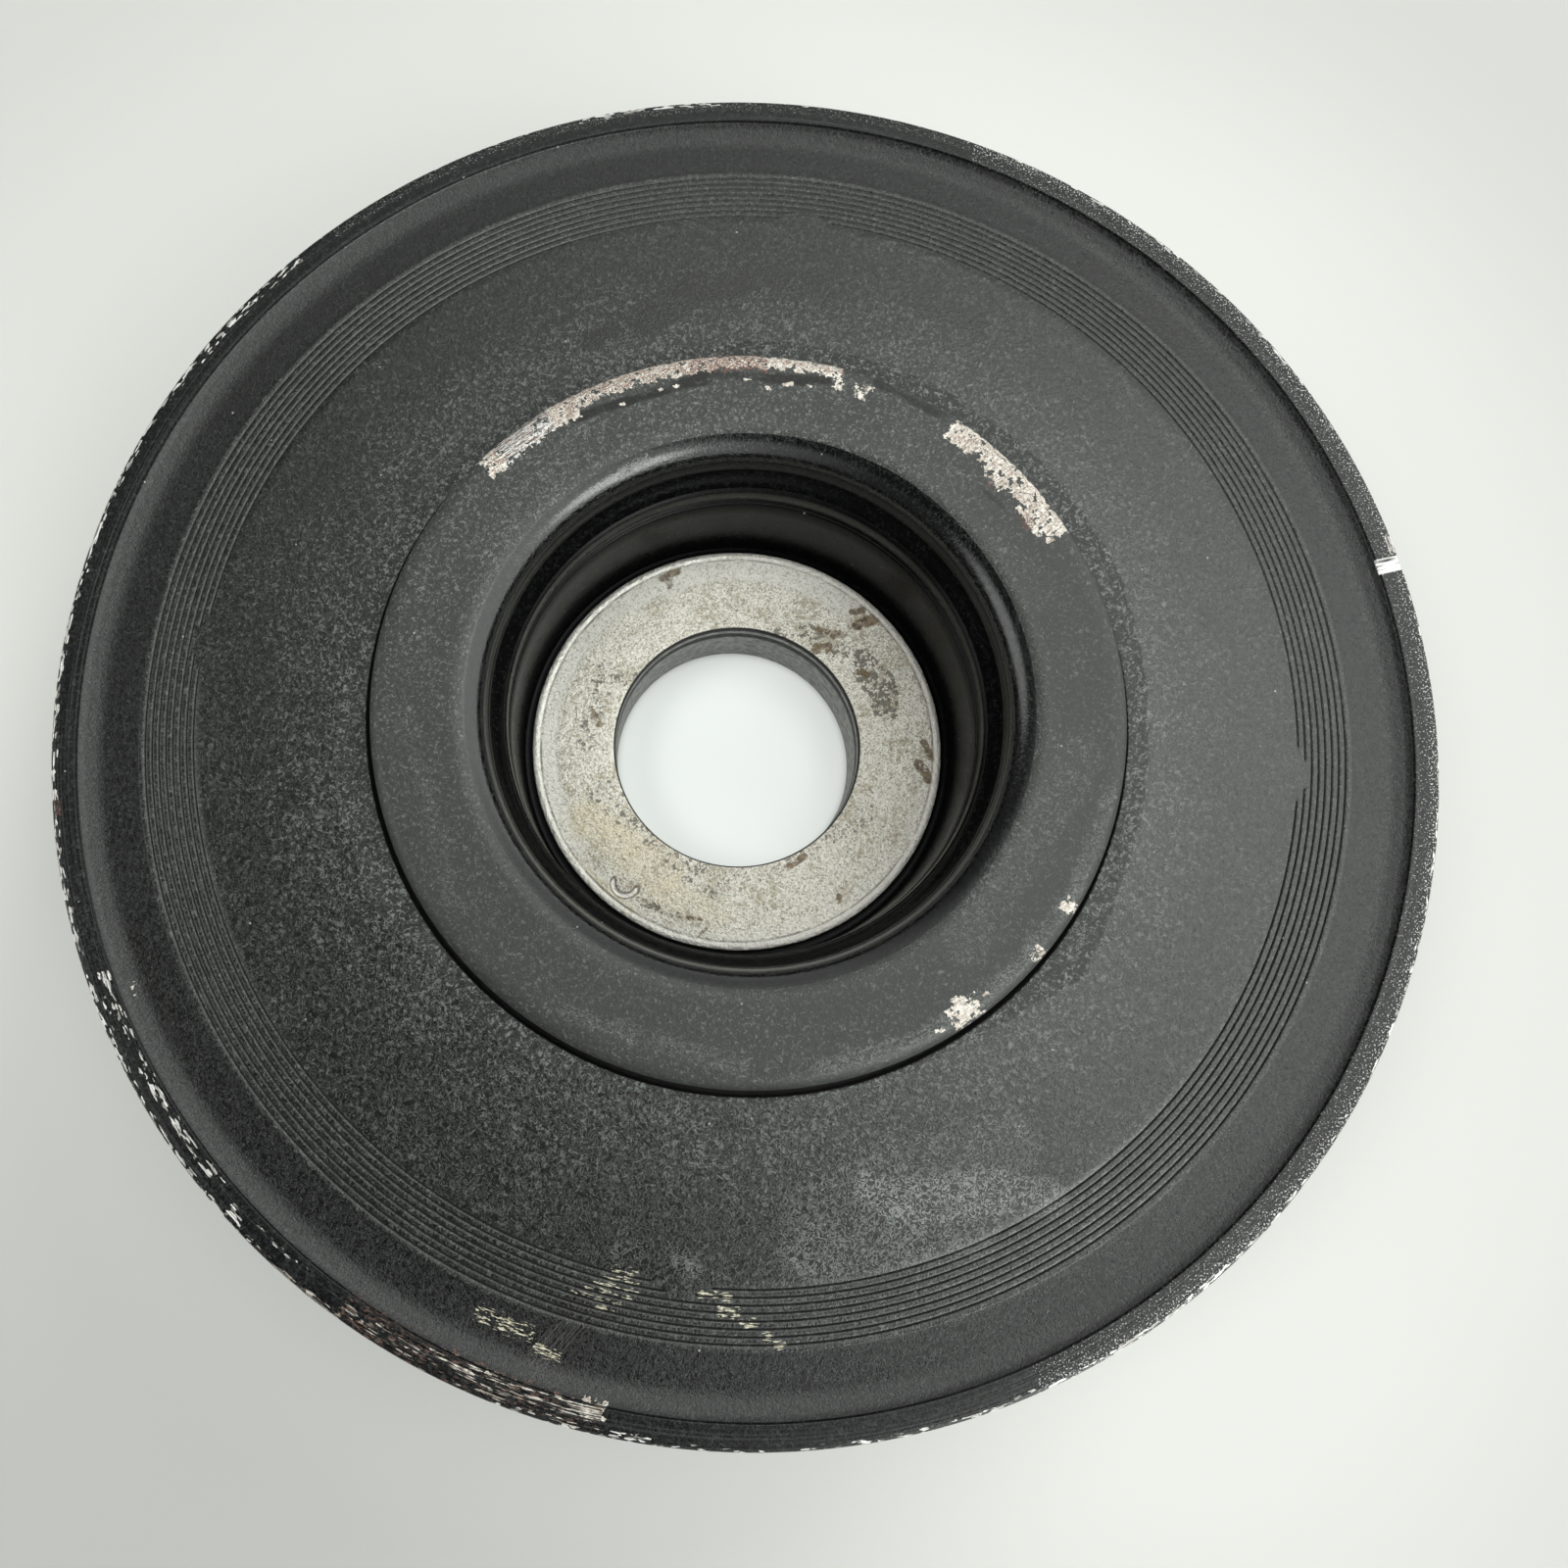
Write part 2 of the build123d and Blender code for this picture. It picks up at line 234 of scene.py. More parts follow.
# ---- Material graphs ----
class Graph:
    """Short names for the nodes of one material."""

    def __init__(self, name):
        self.material = bpy.data.materials.new(name)
        self.material.use_nodes = True
        self.tree = self.material.node_tree
        self.tree.nodes.clear()
        self.shader = self.node("ShaderNodeBsdfPrincipled")
        out = self.node("ShaderNodeOutputMaterial")
        self.link(self.shader.outputs["BSDF"], out.inputs["Surface"])
        self.place = self.node("ShaderNodeTexCoord").outputs["Object"]

    def node(self, kind, **settings):
        made = self.tree.nodes.new(kind)
        for key, value in settings.items():
            setattr(made, key, value)
        return made

    def link(self, a, b):
        self.tree.links.new(a, b)

    def feed(self, socket, value):
        if isinstance(value, bpy.types.NodeSocket):
            self.link(value, socket)
        else:
            socket.default_value = value

    def math(self, operation, a, b=0.0):
        made = self.node("ShaderNodeMath", operation=operation)
        self.feed(made.inputs[0], a)
        self.feed(made.inputs[1], b)
        return made.outputs[0]

    def add(self, a, b):
        return self.math("ADD", a, b)

    def mul(self, a, b):
        return self.math("MULTIPLY", a, b)

    def field(self, name):
        return self.node("ShaderNodeAttribute", attribute_name=name).outputs["Fac"]

    def ramp(self, value, low, high):
        """0 at low and 1 at high, with a smooth rise or fall between them."""
        made = self.node("ShaderNodeMapRange", interpolation_type="SMOOTHSTEP")
        self.feed(made.inputs["Value"], value)
        for key, number in (("From Min", low), ("From Max", high)):
            self.feed(made.inputs[key], number)
        return made.outputs["Result"]

    def mix(self, share, a, b):
        made = self.node("ShaderNodeMix", data_type="RGBA")
        self.feed(made.inputs[0], share)
        for socket, value in ((made.inputs[6], a), (made.inputs[7], b)):
            if isinstance(value, bpy.types.NodeSocket):
                self.link(value, socket)
            else:
                socket.default_value = (*value, 1.0)
        return made.outputs[2]

    def between(self, share, a, b):
        """Number from a to b."""
        made = self.node("ShaderNodeMix", data_type="FLOAT")
        for socket, value in zip((made.inputs[0], made.inputs[2], made.inputs[3]), (share, a, b)):
            self.feed(socket, value)
        return made.outputs[0]

    def scaled(self, size):
        """Object place with one unit for each size millimetres."""
        made = self.node("ShaderNodeVectorMath", operation="MULTIPLY")
        self.link(self.place, made.inputs[0])
        made.inputs[1].default_value = (1 / MM / size,) * 3
        return made.outputs[0]

    def radius(self):
        """Distance from the axis in millimetres."""
        made = self.node("ShaderNodeVectorMath", operation="MULTIPLY")
        self.link(self.place, made.inputs[0])
        made.inputs[1].default_value = (1 / MM, 1 / MM, 0)
        size = self.node("ShaderNodeVectorMath", operation="LENGTH")
        self.link(made.outputs[0], size.inputs[0])
        return size.outputs["Value"]

    def slope(self, direction):
        """Distance along a direction in the ground plane, in millimetres."""
        made = self.node("ShaderNodeVectorMath", operation="DOT_PRODUCT")
        self.link(self.place, made.inputs[0])
        made.inputs[1].default_value = (direction[0] / MM, direction[1] / MM, 0)
        return made.outputs["Value"]

    def round_place(self, along, across):
        """Place for noise that is stretched round the axis: along and across in mm per unit."""
        split = self.node("ShaderNodeSeparateXYZ")
        self.link(self.place, split.inputs[0])
        flat = self.node("ShaderNodeVectorMath", operation="MULTIPLY")
        self.link(self.place, flat.inputs[0])
        flat.inputs[1].default_value = (1, 1, 0)
        turned = self.node("ShaderNodeVectorMath", operation="NORMALIZE")
        self.link(flat.outputs[0], turned.inputs[0])
        around = self.node("ShaderNodeVectorMath", operation="SCALE")
        self.link(turned.outputs[0], around.inputs[0])
        around.inputs["Scale"].default_value = 60.0 / along
        parts = self.node("ShaderNodeSeparateXYZ")
        self.link(around.outputs[0], parts.inputs[0])
        joined = self.node("ShaderNodeCombineXYZ")
        self.link(parts.outputs["X"], joined.inputs["X"])
        self.link(parts.outputs["Y"], joined.inputs["Y"])
        depth = self.add(self.mul(self.radius(), 1 / across), self.mul(split.outputs["Z"], 1 / MM))
        self.link(depth, joined.inputs["Z"])
        return joined.outputs[0]

    def drawn_out(self, turn, long, across):
        """Place for noise that is drawn out along one direction, turn degrees from X."""
        made = self.node("ShaderNodeMapping", vector_type="TEXTURE")
        self.link(self.place, made.inputs["Vector"])
        made.inputs["Rotation"].default_value = (0, 0, math.radians(turn))
        made.inputs["Scale"].default_value = (long * MM, across * MM, across * MM)
        return made.outputs[0]

    def height(self):
        """Height above the rear face in millimetres."""
        split = self.node("ShaderNodeSeparateXYZ")
        self.link(self.place, split.inputs[0])
        return self.mul(split.outputs["Z"], 1 / MM)

    def shifted(self, place, seed):
        """Another part of a pattern for each seed."""
        made = self.node("ShaderNodeVectorMath", operation="ADD")
        self.link(place, made.inputs[0])
        made.inputs[1].default_value = (17.3 * seed, 11.9 * seed, 23.7 * seed)
        return made.outputs[0]

    def noise(self, place, detail=2.0, roughness=0.5, seed=0.0, bend=0.0):
        made = self.node("ShaderNodeTexNoise", noise_dimensions="3D")
        self.link(self.shifted(place, seed), made.inputs["Vector"])
        made.inputs["Scale"].default_value = 1.0
        made.inputs["Distortion"].default_value = bend
        made.inputs["Detail"].default_value = detail
        made.inputs["Roughness"].default_value = roughness
        return made.outputs["Fac"]

    def cells(self, place, seed=0.0):
        """Distance to the middle of the nearest cell."""
        made = self.node("ShaderNodeTexVoronoi", voronoi_dimensions="3D")
        self.link(self.shifted(place, seed), made.inputs["Vector"])
        made.inputs["Scale"].default_value = 1.0
        return made.outputs["Distance"]

    def blocks(self, place, seed=0.0):
        """A random number from 0 to 1 for each cell."""
        made = self.node("ShaderNodeTexVoronoi", voronoi_dimensions="3D")
        self.link(self.shifted(place, seed), made.inputs["Vector"])
        made.inputs["Scale"].default_value = 1.0
        split = self.node("ShaderNodeSeparateColor")
        self.link(made.outputs["Color"], split.inputs[0])
        return split.outputs[0]

    def bump(self, height, depth_mm, before=None):
        """Normal after a height from 0 to 1 that is depth_mm deep."""
        made = self.node("ShaderNodeBump")
        made.inputs["Distance"].default_value = depth_mm * MM
        made.inputs["Strength"].default_value = 1.0
        self.link(height, made.inputs["Height"])
        if before is not None:
            self.link(before, made.inputs["Normal"])
        return made.outputs["Normal"]

    def finish(self, color, roughness, metallic=0.0, normal=None, specular=0.5):
        for key, value in (("Base Color", color), ("Roughness", roughness), ("Metallic", metallic)):
            if key == "Base Color" and not isinstance(value, bpy.types.NodeSocket):
                value = (*value, 1.0)
            self.feed(self.shader.inputs[key], value)
        self.shader.inputs["Specular IOR Level"].default_value = specular
        if normal is not None:
            self.link(normal, self.shader.inputs["Normal"])
        return self.material


PAINT = (0.0050, 0.0055, 0.0050)
PRIMER = (0.40, 0.34, 0.29)
STEEL = (0.88, 0.87, 0.85)
RUST = (0.050, 0.022, 0.016)
GRIME = (0.006, 0.006, 0.0055)


def painted(name, grain_mm, grain_depth, roughness, color=PAINT, specular=0.9, peak=20, wear=()):
    """Satin black paint over steel, with leathery grain, dust, stains and scuffs.
    Wear adds scratches, yellow flecks, chips, turning lines that draw the chips out, the timing mark,
    and painted shade in the roots of the grooves. Fields: stain, scuff, speck, pale and gloss, and with
    wear scratch, yellow, bare, rust, bright, mark and ridge. The scuff field also holds a painted highlight
    along the flange's edge; the pale field lightens the paint, and its rise towards the hub and on one
    side of the flange is painted light."""
    lines = "lines" in wear
    g = Graph(name)
    fine = g.noise(g.scaled(grain_mm), detail=2, roughness=0.6, seed=1.3, bend=0.8)
    wind = g.noise(g.scaled(1.4 * grain_mm), detail=1, seed=5.1, bend=1.6)
    worm = g.ramp(g.math("ABSOLUTE", g.add(wind, -0.5)), 0.10, 0.02)
    speck = g.ramp(g.noise(g.scaled(0.30), detail=1, seed=4.1), 0.3, 0.7)
    cloud = g.ramp(g.noise(g.scaled(7), detail=2, roughness=0.6, seed=2.2), 0.3, 0.7)
    tiny = g.noise(g.scaled(0.20), detail=1, seed=8.8)

    # Paint: grained and clouded, darker where oil has stained it, and paler where it is scuffed and where a
    # highlight is painted along the flange's edge.
    tone = g.add(g.add(g.mul(g.ramp(fine, 0.44, 0.66), 0.50), g.mul(worm, 0.34)), g.mul(cloud, 0.09))
    # Pale lightens the paint; where it rises towards the hub and on one side of the flange it is painted
    # light.
    pale = g.field("pale")
    tone = g.math("POWER", g.add(g.mul(tone, g.add(1.0, g.mul(pale, 0.8))), g.mul(pale, 0.36)), 3.5)
    shade = g.mix(tone, color, tuple(peak * c for c in color))
    broken = g.add(0.30, g.add(g.mul(worm, 0.8), g.mul(speck, 0.4)))
    # The scuff field lightens scuffed paint, and on the flange's rounded edge it paints a highlight.
    scuff = g.ramp(g.mul(g.field("scuff"), broken), 0.12, 0.95)
    shade = g.mix(g.mul(g.mul(scuff, g.add(0.14, g.mul(worm, 0.86))), 0.75), shade, (0.22, 0.235, 0.23))
    stain = g.ramp(g.mul(g.field("stain"), g.add(0.45, cloud)), 0.05, 1.0)
    shade = g.mix(g.mul(stain, 0.85), shade, GRIME)
    if "scratches" in wear:
        score = g.noise(g.drawn_out(227, 9.0, 0.16), detail=1, seed=6.6)
        score = g.mul(g.ramp(score, 0.52, 0.60), g.field("scratch"))
        shade = g.mix(g.mul(score, 0.5), shade, (0.06, 0.062, 0.058))
    if "yellow" in wear:
        flecks = g.noise(g.round_place(0.9, 0.15), detail=1, roughness=0.6, seed=2.6)
        yellow = g.ramp(g.add(g.ramp(flecks, 0.32, 0.68), g.field("yellow")), 1.0, 1.12)
        shade = g.mix(yellow, shade, g.mix(speck, (0.22, 0.20, 0.14), (0.62, 0.59, 0.46)))
    dust = g.ramp(g.cells(g.scaled(4.6), seed=3.0), 0.034, 0.020)
    shade = g.mix(g.mul(dust, 0.6), shade, (0.45, 0.46, 0.44))
    point = g.ramp(g.add(g.ramp(tiny, 0.30, 0.70), g.field("speck")), 1.0, 1.15)
    shade = g.mix(point, shade, (0.52, 0.53, 0.50))

    rough = g.add(g.add(roughness, g.mul(g.add(fine, -0.5), 0.22)), g.mul(g.field("gloss"), -0.2))
    rough = g.between(stain, rough, roughness - 0.06)
    rough = g.between(scuff, rough, 0.6)
    metallic = 0.0
    normal = g.bump(g.add(g.mul(fine, 0.7), g.mul(worm, 0.3)), grain_depth)
    normal = g.bump(tiny, 0.008, normal)

    if "chips" in wear:
        # Bare patches: the fields say where, and noise breaks them up.
        flake = g.ramp(g.noise(g.scaled(0.8), detail=3, roughness=0.7, seed=9.4), 0.35, 0.65)
        bare, rust_field = g.field("bare"), g.field("rust")
        streaky = g.mul(g.ramp(rust_field, 0.10, 0.25), 0.6)
        if lines:
            edge = g.ramp(g.noise(g.round_place(0.8, 0.20), detail=1, roughness=0.6, seed=6.0), 0.32, 0.68)
            block = g.add(g.mul(g.blocks(g.round_place(0.62, 0.24), seed=6.0), 0.88), g.mul(edge, 0.12))
            streak = g.ramp(g.noise(g.round_place(3.2, 0.17), detail=2, roughness=0.65, seed=2.9), 0.34, 0.66)
            block = g.between(streaky, block, streak)
            chip = g.ramp(g.add(block, bare), 1.0, 1.04)
            grain = g.noise(g.round_place(2.4, 0.12), detail=1, roughness=0.6, seed=9.0)
        else:
            edge = g.ramp(g.noise(g.scaled(0.85), detail=3, roughness=0.75, seed=6.0), 0.32, 0.68)
            level = g.add(bare, g.mul(g.ramp(bare, 0.02, 0.2), g.mul(g.add(edge, -0.5), 1.25)))
            chip = g.ramp(level, 0.50, 0.56)
            grain = g.noise(g.drawn_out(37, 1.8, 0.16), detail=1, roughness=0.6, seed=9.0)
        grain = g.ramp(grain, 0.36, 0.60)
        crack = g.noise(g.scaled(1.5), detail=2, roughness=0.6, seed=2.0)
        crack = g.ramp(g.math("ABSOLUTE", g.add(crack, -0.5)), 0.016, 0.004)
        bright = g.ramp(g.add(g.field("bright"), g.mul(g.add(flake, -0.5), 0.8)), 0.45, 0.6)
        metal = g.mix(g.add(g.mul(flake, 0.45), g.mul(grain, 0.65)), PRIMER, (0.82, 0.78, 0.71))
        metal = g.mix(g.mul(crack, 0.55), metal, (0.10, 0.065, 0.055))
        metal = g.mix(bright, metal, g.mix(grain, (0.20, 0.18, 0.16), STEEL))
        if lines:
            metal = g.mix(streaky, metal, g.mix(flake, (0.03, 0.026, 0.024), (0.74, 0.69, 0.60)))
        rust_level = g.add(rust_field, g.mul(g.ramp(rust_field, 0.02, 0.2), g.mul(g.add(edge, -0.5), 1.5)))
        rust = g.mul(g.ramp(rust_level, 0.50, 1.02), g.ramp(tiny, 0.36, 0.56))
        rusty = g.mix(g.ramp(tiny, 0.35, 0.65), RUST, (0.19, 0.100, 0.075))
        shade = g.mix(chip, shade, metal)
        shade = g.mix(g.mul(rust, 0.50 if lines else 0.85), shade, rusty)
        rough = g.between(chip, rough, g.between(bright, 0.62, 0.34))
        rough = g.between(rust, rough, 0.85)
        metallic = g.mul(g.mul(chip, g.between(bright, 0.2, 0.5)), g.math("SUBTRACT", 1.0, rust))
        sunk = g.add(g.math("SUBTRACT", 1.0, chip), g.mul(g.mul(chip, g.add(flake, grain)), 0.57))
        normal = g.bump(sunk, 0.07, normal)

    if "mark" in wear:
        cut = g.ramp(g.noise(g.round_place(0.26, 5.0), detail=2, seed=4.4), 0.40, 0.56)
        mark = g.ramp(g.add(g.field("mark"), g.mul(g.add(tiny, -0.5), 0.8)), 0.35, 0.55)
        shade = g.mix(mark, shade, g.mix(cut, (0.03, 0.03, 0.03), (0.86, 0.86, 0.84)))
    # Painted shade: the roots of the turned grooves darkened nearly to black, as they would be in shadow.
    if "grooves" in wear:
        turns = g.mul(g.math("SUBTRACT", RIDGE_OUTER + 0.1 * RIDGE_PITCH, g.radius()), 1 / RIDGE_PITCH)
        place = g.math("FRACT", turns)
        root = g.add(g.ramp(place, 0.84, 0.98), g.ramp(place, 0.16, 0.02))
        zone = g.mul(g.ramp(g.radius(), RIDGE_OUTER - 0.3, RIDGE_OUTER - 0.4),
                     g.ramp(g.radius(), RIDGE_INNER - 0.15, RIDGE_INNER - 0.05))
        line = g.mul(g.mul(root, zone), g.field("ridge"))
        shade = g.mix(g.mul(line, 0.9), shade, (0.002, 0.002, 0.002))
        rough = g.between(line, rough, 0.9)
    if lines:
        turned = g.noise(g.round_place(40, 0.16), detail=1, seed=3.3)
        normal = g.bump(turned, 0.05, normal)
        shade = g.mix(g.mul(g.ramp(turned, 0.55, 0.7), 0.25), shade, (0.08, 0.08, 0.08))
    return g.finish(shade, rough, metallic, normal, specular)


def plain_steel(name):
    """Turned bare steel of the seat and bore, stained, spotted and burnished. The burnished rim carries a
    painted highlight, the dent painted shadow and highlight, the small groove painted shade, and the bore
    wall bands of painted light and shade. Fields: rust, stain, yellow, burnish, smooth, dent."""
    g = Graph(name)
    mottle = g.ramp(g.noise(g.scaled(0.75), detail=3, roughness=0.72, seed=1.0), 0.32, 0.68)
    patch = g.ramp(g.noise(g.scaled(4.0), detail=3, roughness=0.6, seed=5.0), 0.3, 0.7)
    ring = g.noise(g.round_place(14, 0.10), detail=1, seed=7.0)
    blot = g.ramp(g.noise(g.scaled(0.9), detail=3, roughness=0.68, seed=3.0), 0.3, 0.7)
    grit = g.noise(g.scaled(0.36), detail=2, roughness=0.6, seed=8.0, bend=0.6)
    smooth = g.field("smooth")
    rough_tone = g.add(g.mul(mottle, 0.55), g.mul(patch, 0.45))
    tone = g.between(g.mul(smooth, 0.55), rough_tone, 0.62)
    shade = g.mix(g.ramp(tone, 0.05, 0.50), (0.60, 0.55, 0.43), (1.0, 0.975, 0.885))
    shade = g.mix(g.mul(g.ramp(grit, 0.48, 0.40), 0.70), shade, (0.33, 0.285, 0.19))
    shade = g.mix(g.mul(smooth, 0.30), shade, (0.70, 0.71, 0.70))
    shade = g.mix(g.mul(g.mul(g.field("yellow"), g.add(0.3, patch)), 0.42), shade, (0.82, 0.70, 0.42))
    specks = g.ramp(grit, 0.55, 0.66)
    specks = g.mul(specks, g.math("SUBTRACT", 1.0, g.mul(smooth, 0.55)))
    shade = g.mix(g.mul(specks, 0.75), shade, (0.22, 0.17, 0.11))
    pits = g.ramp(g.mul(g.field("stain"), g.add(0.2, mottle)), 0.42, 0.62)
    shade = g.mix(g.mul(pits, 0.8), shade, (0.10, 0.085, 0.06))
    rust = g.ramp(g.mul(g.field("rust"), g.add(0.45, blot)), 0.25, 0.80)
    shade = g.mix(g.mul(rust, 0.85), shade, g.mix(mottle, (0.045, 0.026, 0.013), (0.27, 0.18, 0.08)))
    nick = g.ramp(g.noise(g.round_place(1.6, 0.25), detail=3, roughness=0.6, seed=11.0), 0.40, 0.52)
    burnish = g.mul(g.field("burnish"), g.add(0.35, g.mul(nick, 0.65)))
    # Painted light and shade on the dent: a dark line of painted shadow round it and a painted highlight on
    # the crescent.
    dent = g.field("dent")
    edge = g.mul(g.ramp(dent, 0.06, 0.2), g.ramp(dent, 0.7, 0.4))
    shade = g.mix(g.mul(edge, 0.7), shade, (0.13, 0.10, 0.07))
    shade = g.mix(g.ramp(dent, 0.5, 0.8), shade, (0.98, 0.96, 0.90))
    # Painted highlight: the burnished rim of the seat lifted nearly to white, on top of its real burnish.
    shade = g.mix(g.mul(burnish, 0.9), shade, (1.0, 0.98, 0.92))
    # Painted shade: a patchy dark line along the small groove inside the seat's rim.
    groove = g.mul(g.ramp(g.radius(), 25.95, 26.1), g.ramp(g.radius(), 26.35, 26.2))
    shade = g.mix(g.mul(groove, g.mul(patch, 0.8)), shade, (0.16, 0.15, 0.13))
    # Painted light and shade on the bore wall: dark as if in shade, with a thin paler band near the top and a
    # paler lower band painted as if lit from the table below.
    deep = g.height()
    wall = g.mul(g.ramp(g.radius(), 16.9, 16.55), g.ramp(deep, 11.16, 11.05))
    band = g.add(g.ramp(deep, 8.3, 7.6), g.mul(g.ramp(deep, 9.3, 9.45), g.ramp(deep, 10.35, 10.2)))
    bore_lit_tone = g.mix(blot, (0.26, 0.26, 0.25), (0.56, 0.56, 0.54))
    shade = g.mix(wall, shade, g.mix(g.mul(band, 0.9), (0.02, 0.02, 0.019), bore_lit_tone))
    rough = g.add(0.42, g.mul(g.add(mottle, -0.5), 0.20))
    rough = g.between(burnish, rough, 0.32)
    rough = g.between(rust, rough, 0.7)
    normal = g.bump(ring, 0.030)
    normal = g.bump(g.mul(g.add(mottle, grit), g.math("SUBTRACT", 1.0, g.mul(smooth, 0.7))), 0.12, normal)
    metallic = g.math("SUBTRACT", g.between(burnish, 0.12, 0.5), g.mul(rust, 0.3))
    return g.finish(shade, rough, metallic, normal)


def rubber():
    """Dull moulded rubber."""
    g = Graph("rubber")
    fine = g.noise(g.scaled(0.7), detail=3, seed=2.0)
    cloud = g.noise(g.scaled(6), detail=3, seed=3.0)
    shade = g.mix(g.ramp(g.add(g.mul(fine, 0.5), g.mul(cloud, 0.5)), 0.3, 0.7),
                  (0.018, 0.018, 0.018), (0.034, 0.034, 0.033))
    return g.finish(shade, g.add(0.58, g.mul(fine, 0.2)), 0.0, g.bump(fine, 0.03), specular=0.4)


# ---- Pulley ring ----
def track_profile():
    """Outside of the rim from front to rear: side flanges and poly-V grooves."""
    pitch, root_half, land = 3.56, 0.4, 0.7
    tip = OUTER_RADIUS - 0.8
    mouth = pitch - land
    depth = (mouth / 2 - root_half) / math.tan(math.radians(20))
    middle = (RIM_FRONT + RING_REAR) / 2
    half = 3 * pitch + land / 2
    corners = [(OUTER_RADIUS, middle + half + 0.5, 0.12, 1), (tip, middle + half, 0.08, 1)]
    for groove in range(6):
        centre = middle + (2.5 - groove) * pitch
        corners += [(tip, centre + mouth / 2, 0.12, 1), (tip - depth, centre + root_half, 0.12, 1),
                    (tip - depth, centre - root_half, 0.12, 1), (tip, centre - mouth / 2, 0.12, 1)]
    corners += [(tip, middle - half, 0.08, 1), (OUTER_RADIUS, middle - half - 0.5, 0.12, 1)]
    return corners


def ring_profile():
    """Section of the ring: web hole, turned ridges, band, rim, belt track and rear pocket."""
    corners = [(WEB_HOLE_RADIUS, RING_REAR, 0.3, 1), (WEB_HOLE_RADIUS, WEB_FRONT, 0.25, 3)]
    rise = (WEB_FRONT - BAND_HEIGHT) / RIDGE_COUNT
    for ridge in reversed(range(RIDGE_COUNT)):
        line = RIDGE_OUTER - (ridge + 0.9) * RIDGE_PITCH
        crest = BAND_HEIGHT + ridge * rise
        corners += [(line - 0.13, crest + rise, 0.03, 1), (line, crest - RIDGE_DEPTH, 0, 0),
                    (line + 0.13, crest, 0.03, 1)]
    corners += [
        (RIDGE_OUTER - 0.05, BAND_HEIGHT + 0.03, 0.05, 1), (RIDGE_OUTER + 0.05, BAND_HEIGHT, 0.05, 1),
        (BAND_OUTER, BAND_HEIGHT, 0.9, 5),
        (RIM_INNER - 0.05, RIM_FRONT - 0.45, 0.05, 1),
        (RIM_INNER, RIM_FRONT, 0.12, 2),
        (OUTER_RADIUS, RIM_FRONT, 0.40, 3),
    ]
    corners += track_profile()
    rim_inside, web_back, boss = OUTER_RADIUS - 12, WEB_FRONT - 11, WEB_HOLE_RADIUS + 8.5
    corners += [
        (OUTER_RADIUS, RING_REAR, 0.45, 1),
        (rim_inside, RING_REAR, 0.3, 1), (rim_inside, web_back, 2.0, 4),
        (boss, web_back, 2.0, 4), (boss, RING_REAR, 0.3, 1),
    ]
    return rounded(corners)


def ring_level(r, z):
    """Angles are finest on the rim's face, fine on the ridges, coarse on the web and coarsest elsewhere."""
    if z < RIM_FRONT - 1.6:
        return 0
    if r < RIDGE_INNER - 0.7:
        return 1
    return 3 if r > RIM_INNER - 0.2 else 2


def ring_step(r, z):
    """Longest stretch of the profile: short on the rim's face and long where little shows."""
    if z < WEB_FRONT - 0.5 and r < OUTER_RADIUS - 1:
        return 6.0
    if r > RIM_INNER and z > RIM_FRONT - 0.3:
        return 0.34
    return 0.95


def faint_at(angle):
    """1 where paint fills the turned lines, falling to 0 round the rest of the ring."""
    return np.clip((62 - np.abs(gap_between(angle, FAINT_ANGLE))) / 20, 0, 1)


def from_mark(angle, radius):
    """Distance round the axis from the middle of the timing mark."""
    return np.abs(gap_between(angle, MARK_ANGLE)) * np.radians(1) * radius


def ring_shape(angle, radius, height):
    """Breaks in the ridges, lines that paint half fills, and the timing mark cut into the rim's face."""
    for place in BREAK_ANGLES:
        along = np.abs(gap_between(angle, place)) * np.radians(1) * RIDGE_INNER / 3.35
        reach = 0.25 + 1.25 * (0.5 + 0.5 * np.cos(np.pi * np.clip(along, 0, 1)))
        inside = (radius < RIDGE_INNER + reach) & (radius > RIDGE_INNER - 0.6)
        inside &= (along < 1) & (height > WEB_FRONT - 0.3)
        height = np.where(inside, np.maximum(height, WEB_FRONT), height)
    crest = np.interp(radius, [RIDGE_INNER, RIDGE_OUTER], [WEB_FRONT, BAND_HEIGHT])
    in_line = (radius > RIDGE_INNER) & (radius < RIDGE_OUTER)
    in_line &= (height > BAND_HEIGHT - 0.5) & (height < crest - 0.12)
    height = np.where(in_line, crest - (crest - height) * (1 - 0.5 * faint_at(angle)), height)
    side = from_mark(angle, radius)
    notch = np.clip((MARK_WIDTH / 2 - side) / 0.12, 0, 1)
    on_land = (radius > RIM_INNER - 0.1) & (height > RIM_FRONT - 0.5)
    floor = RIM_FRONT - 0.3 + 0.05 * np.sin(side * 7)
    height = np.where(on_land, height - notch * np.clip(height - floor, 0, 1), height)
    return radius, height


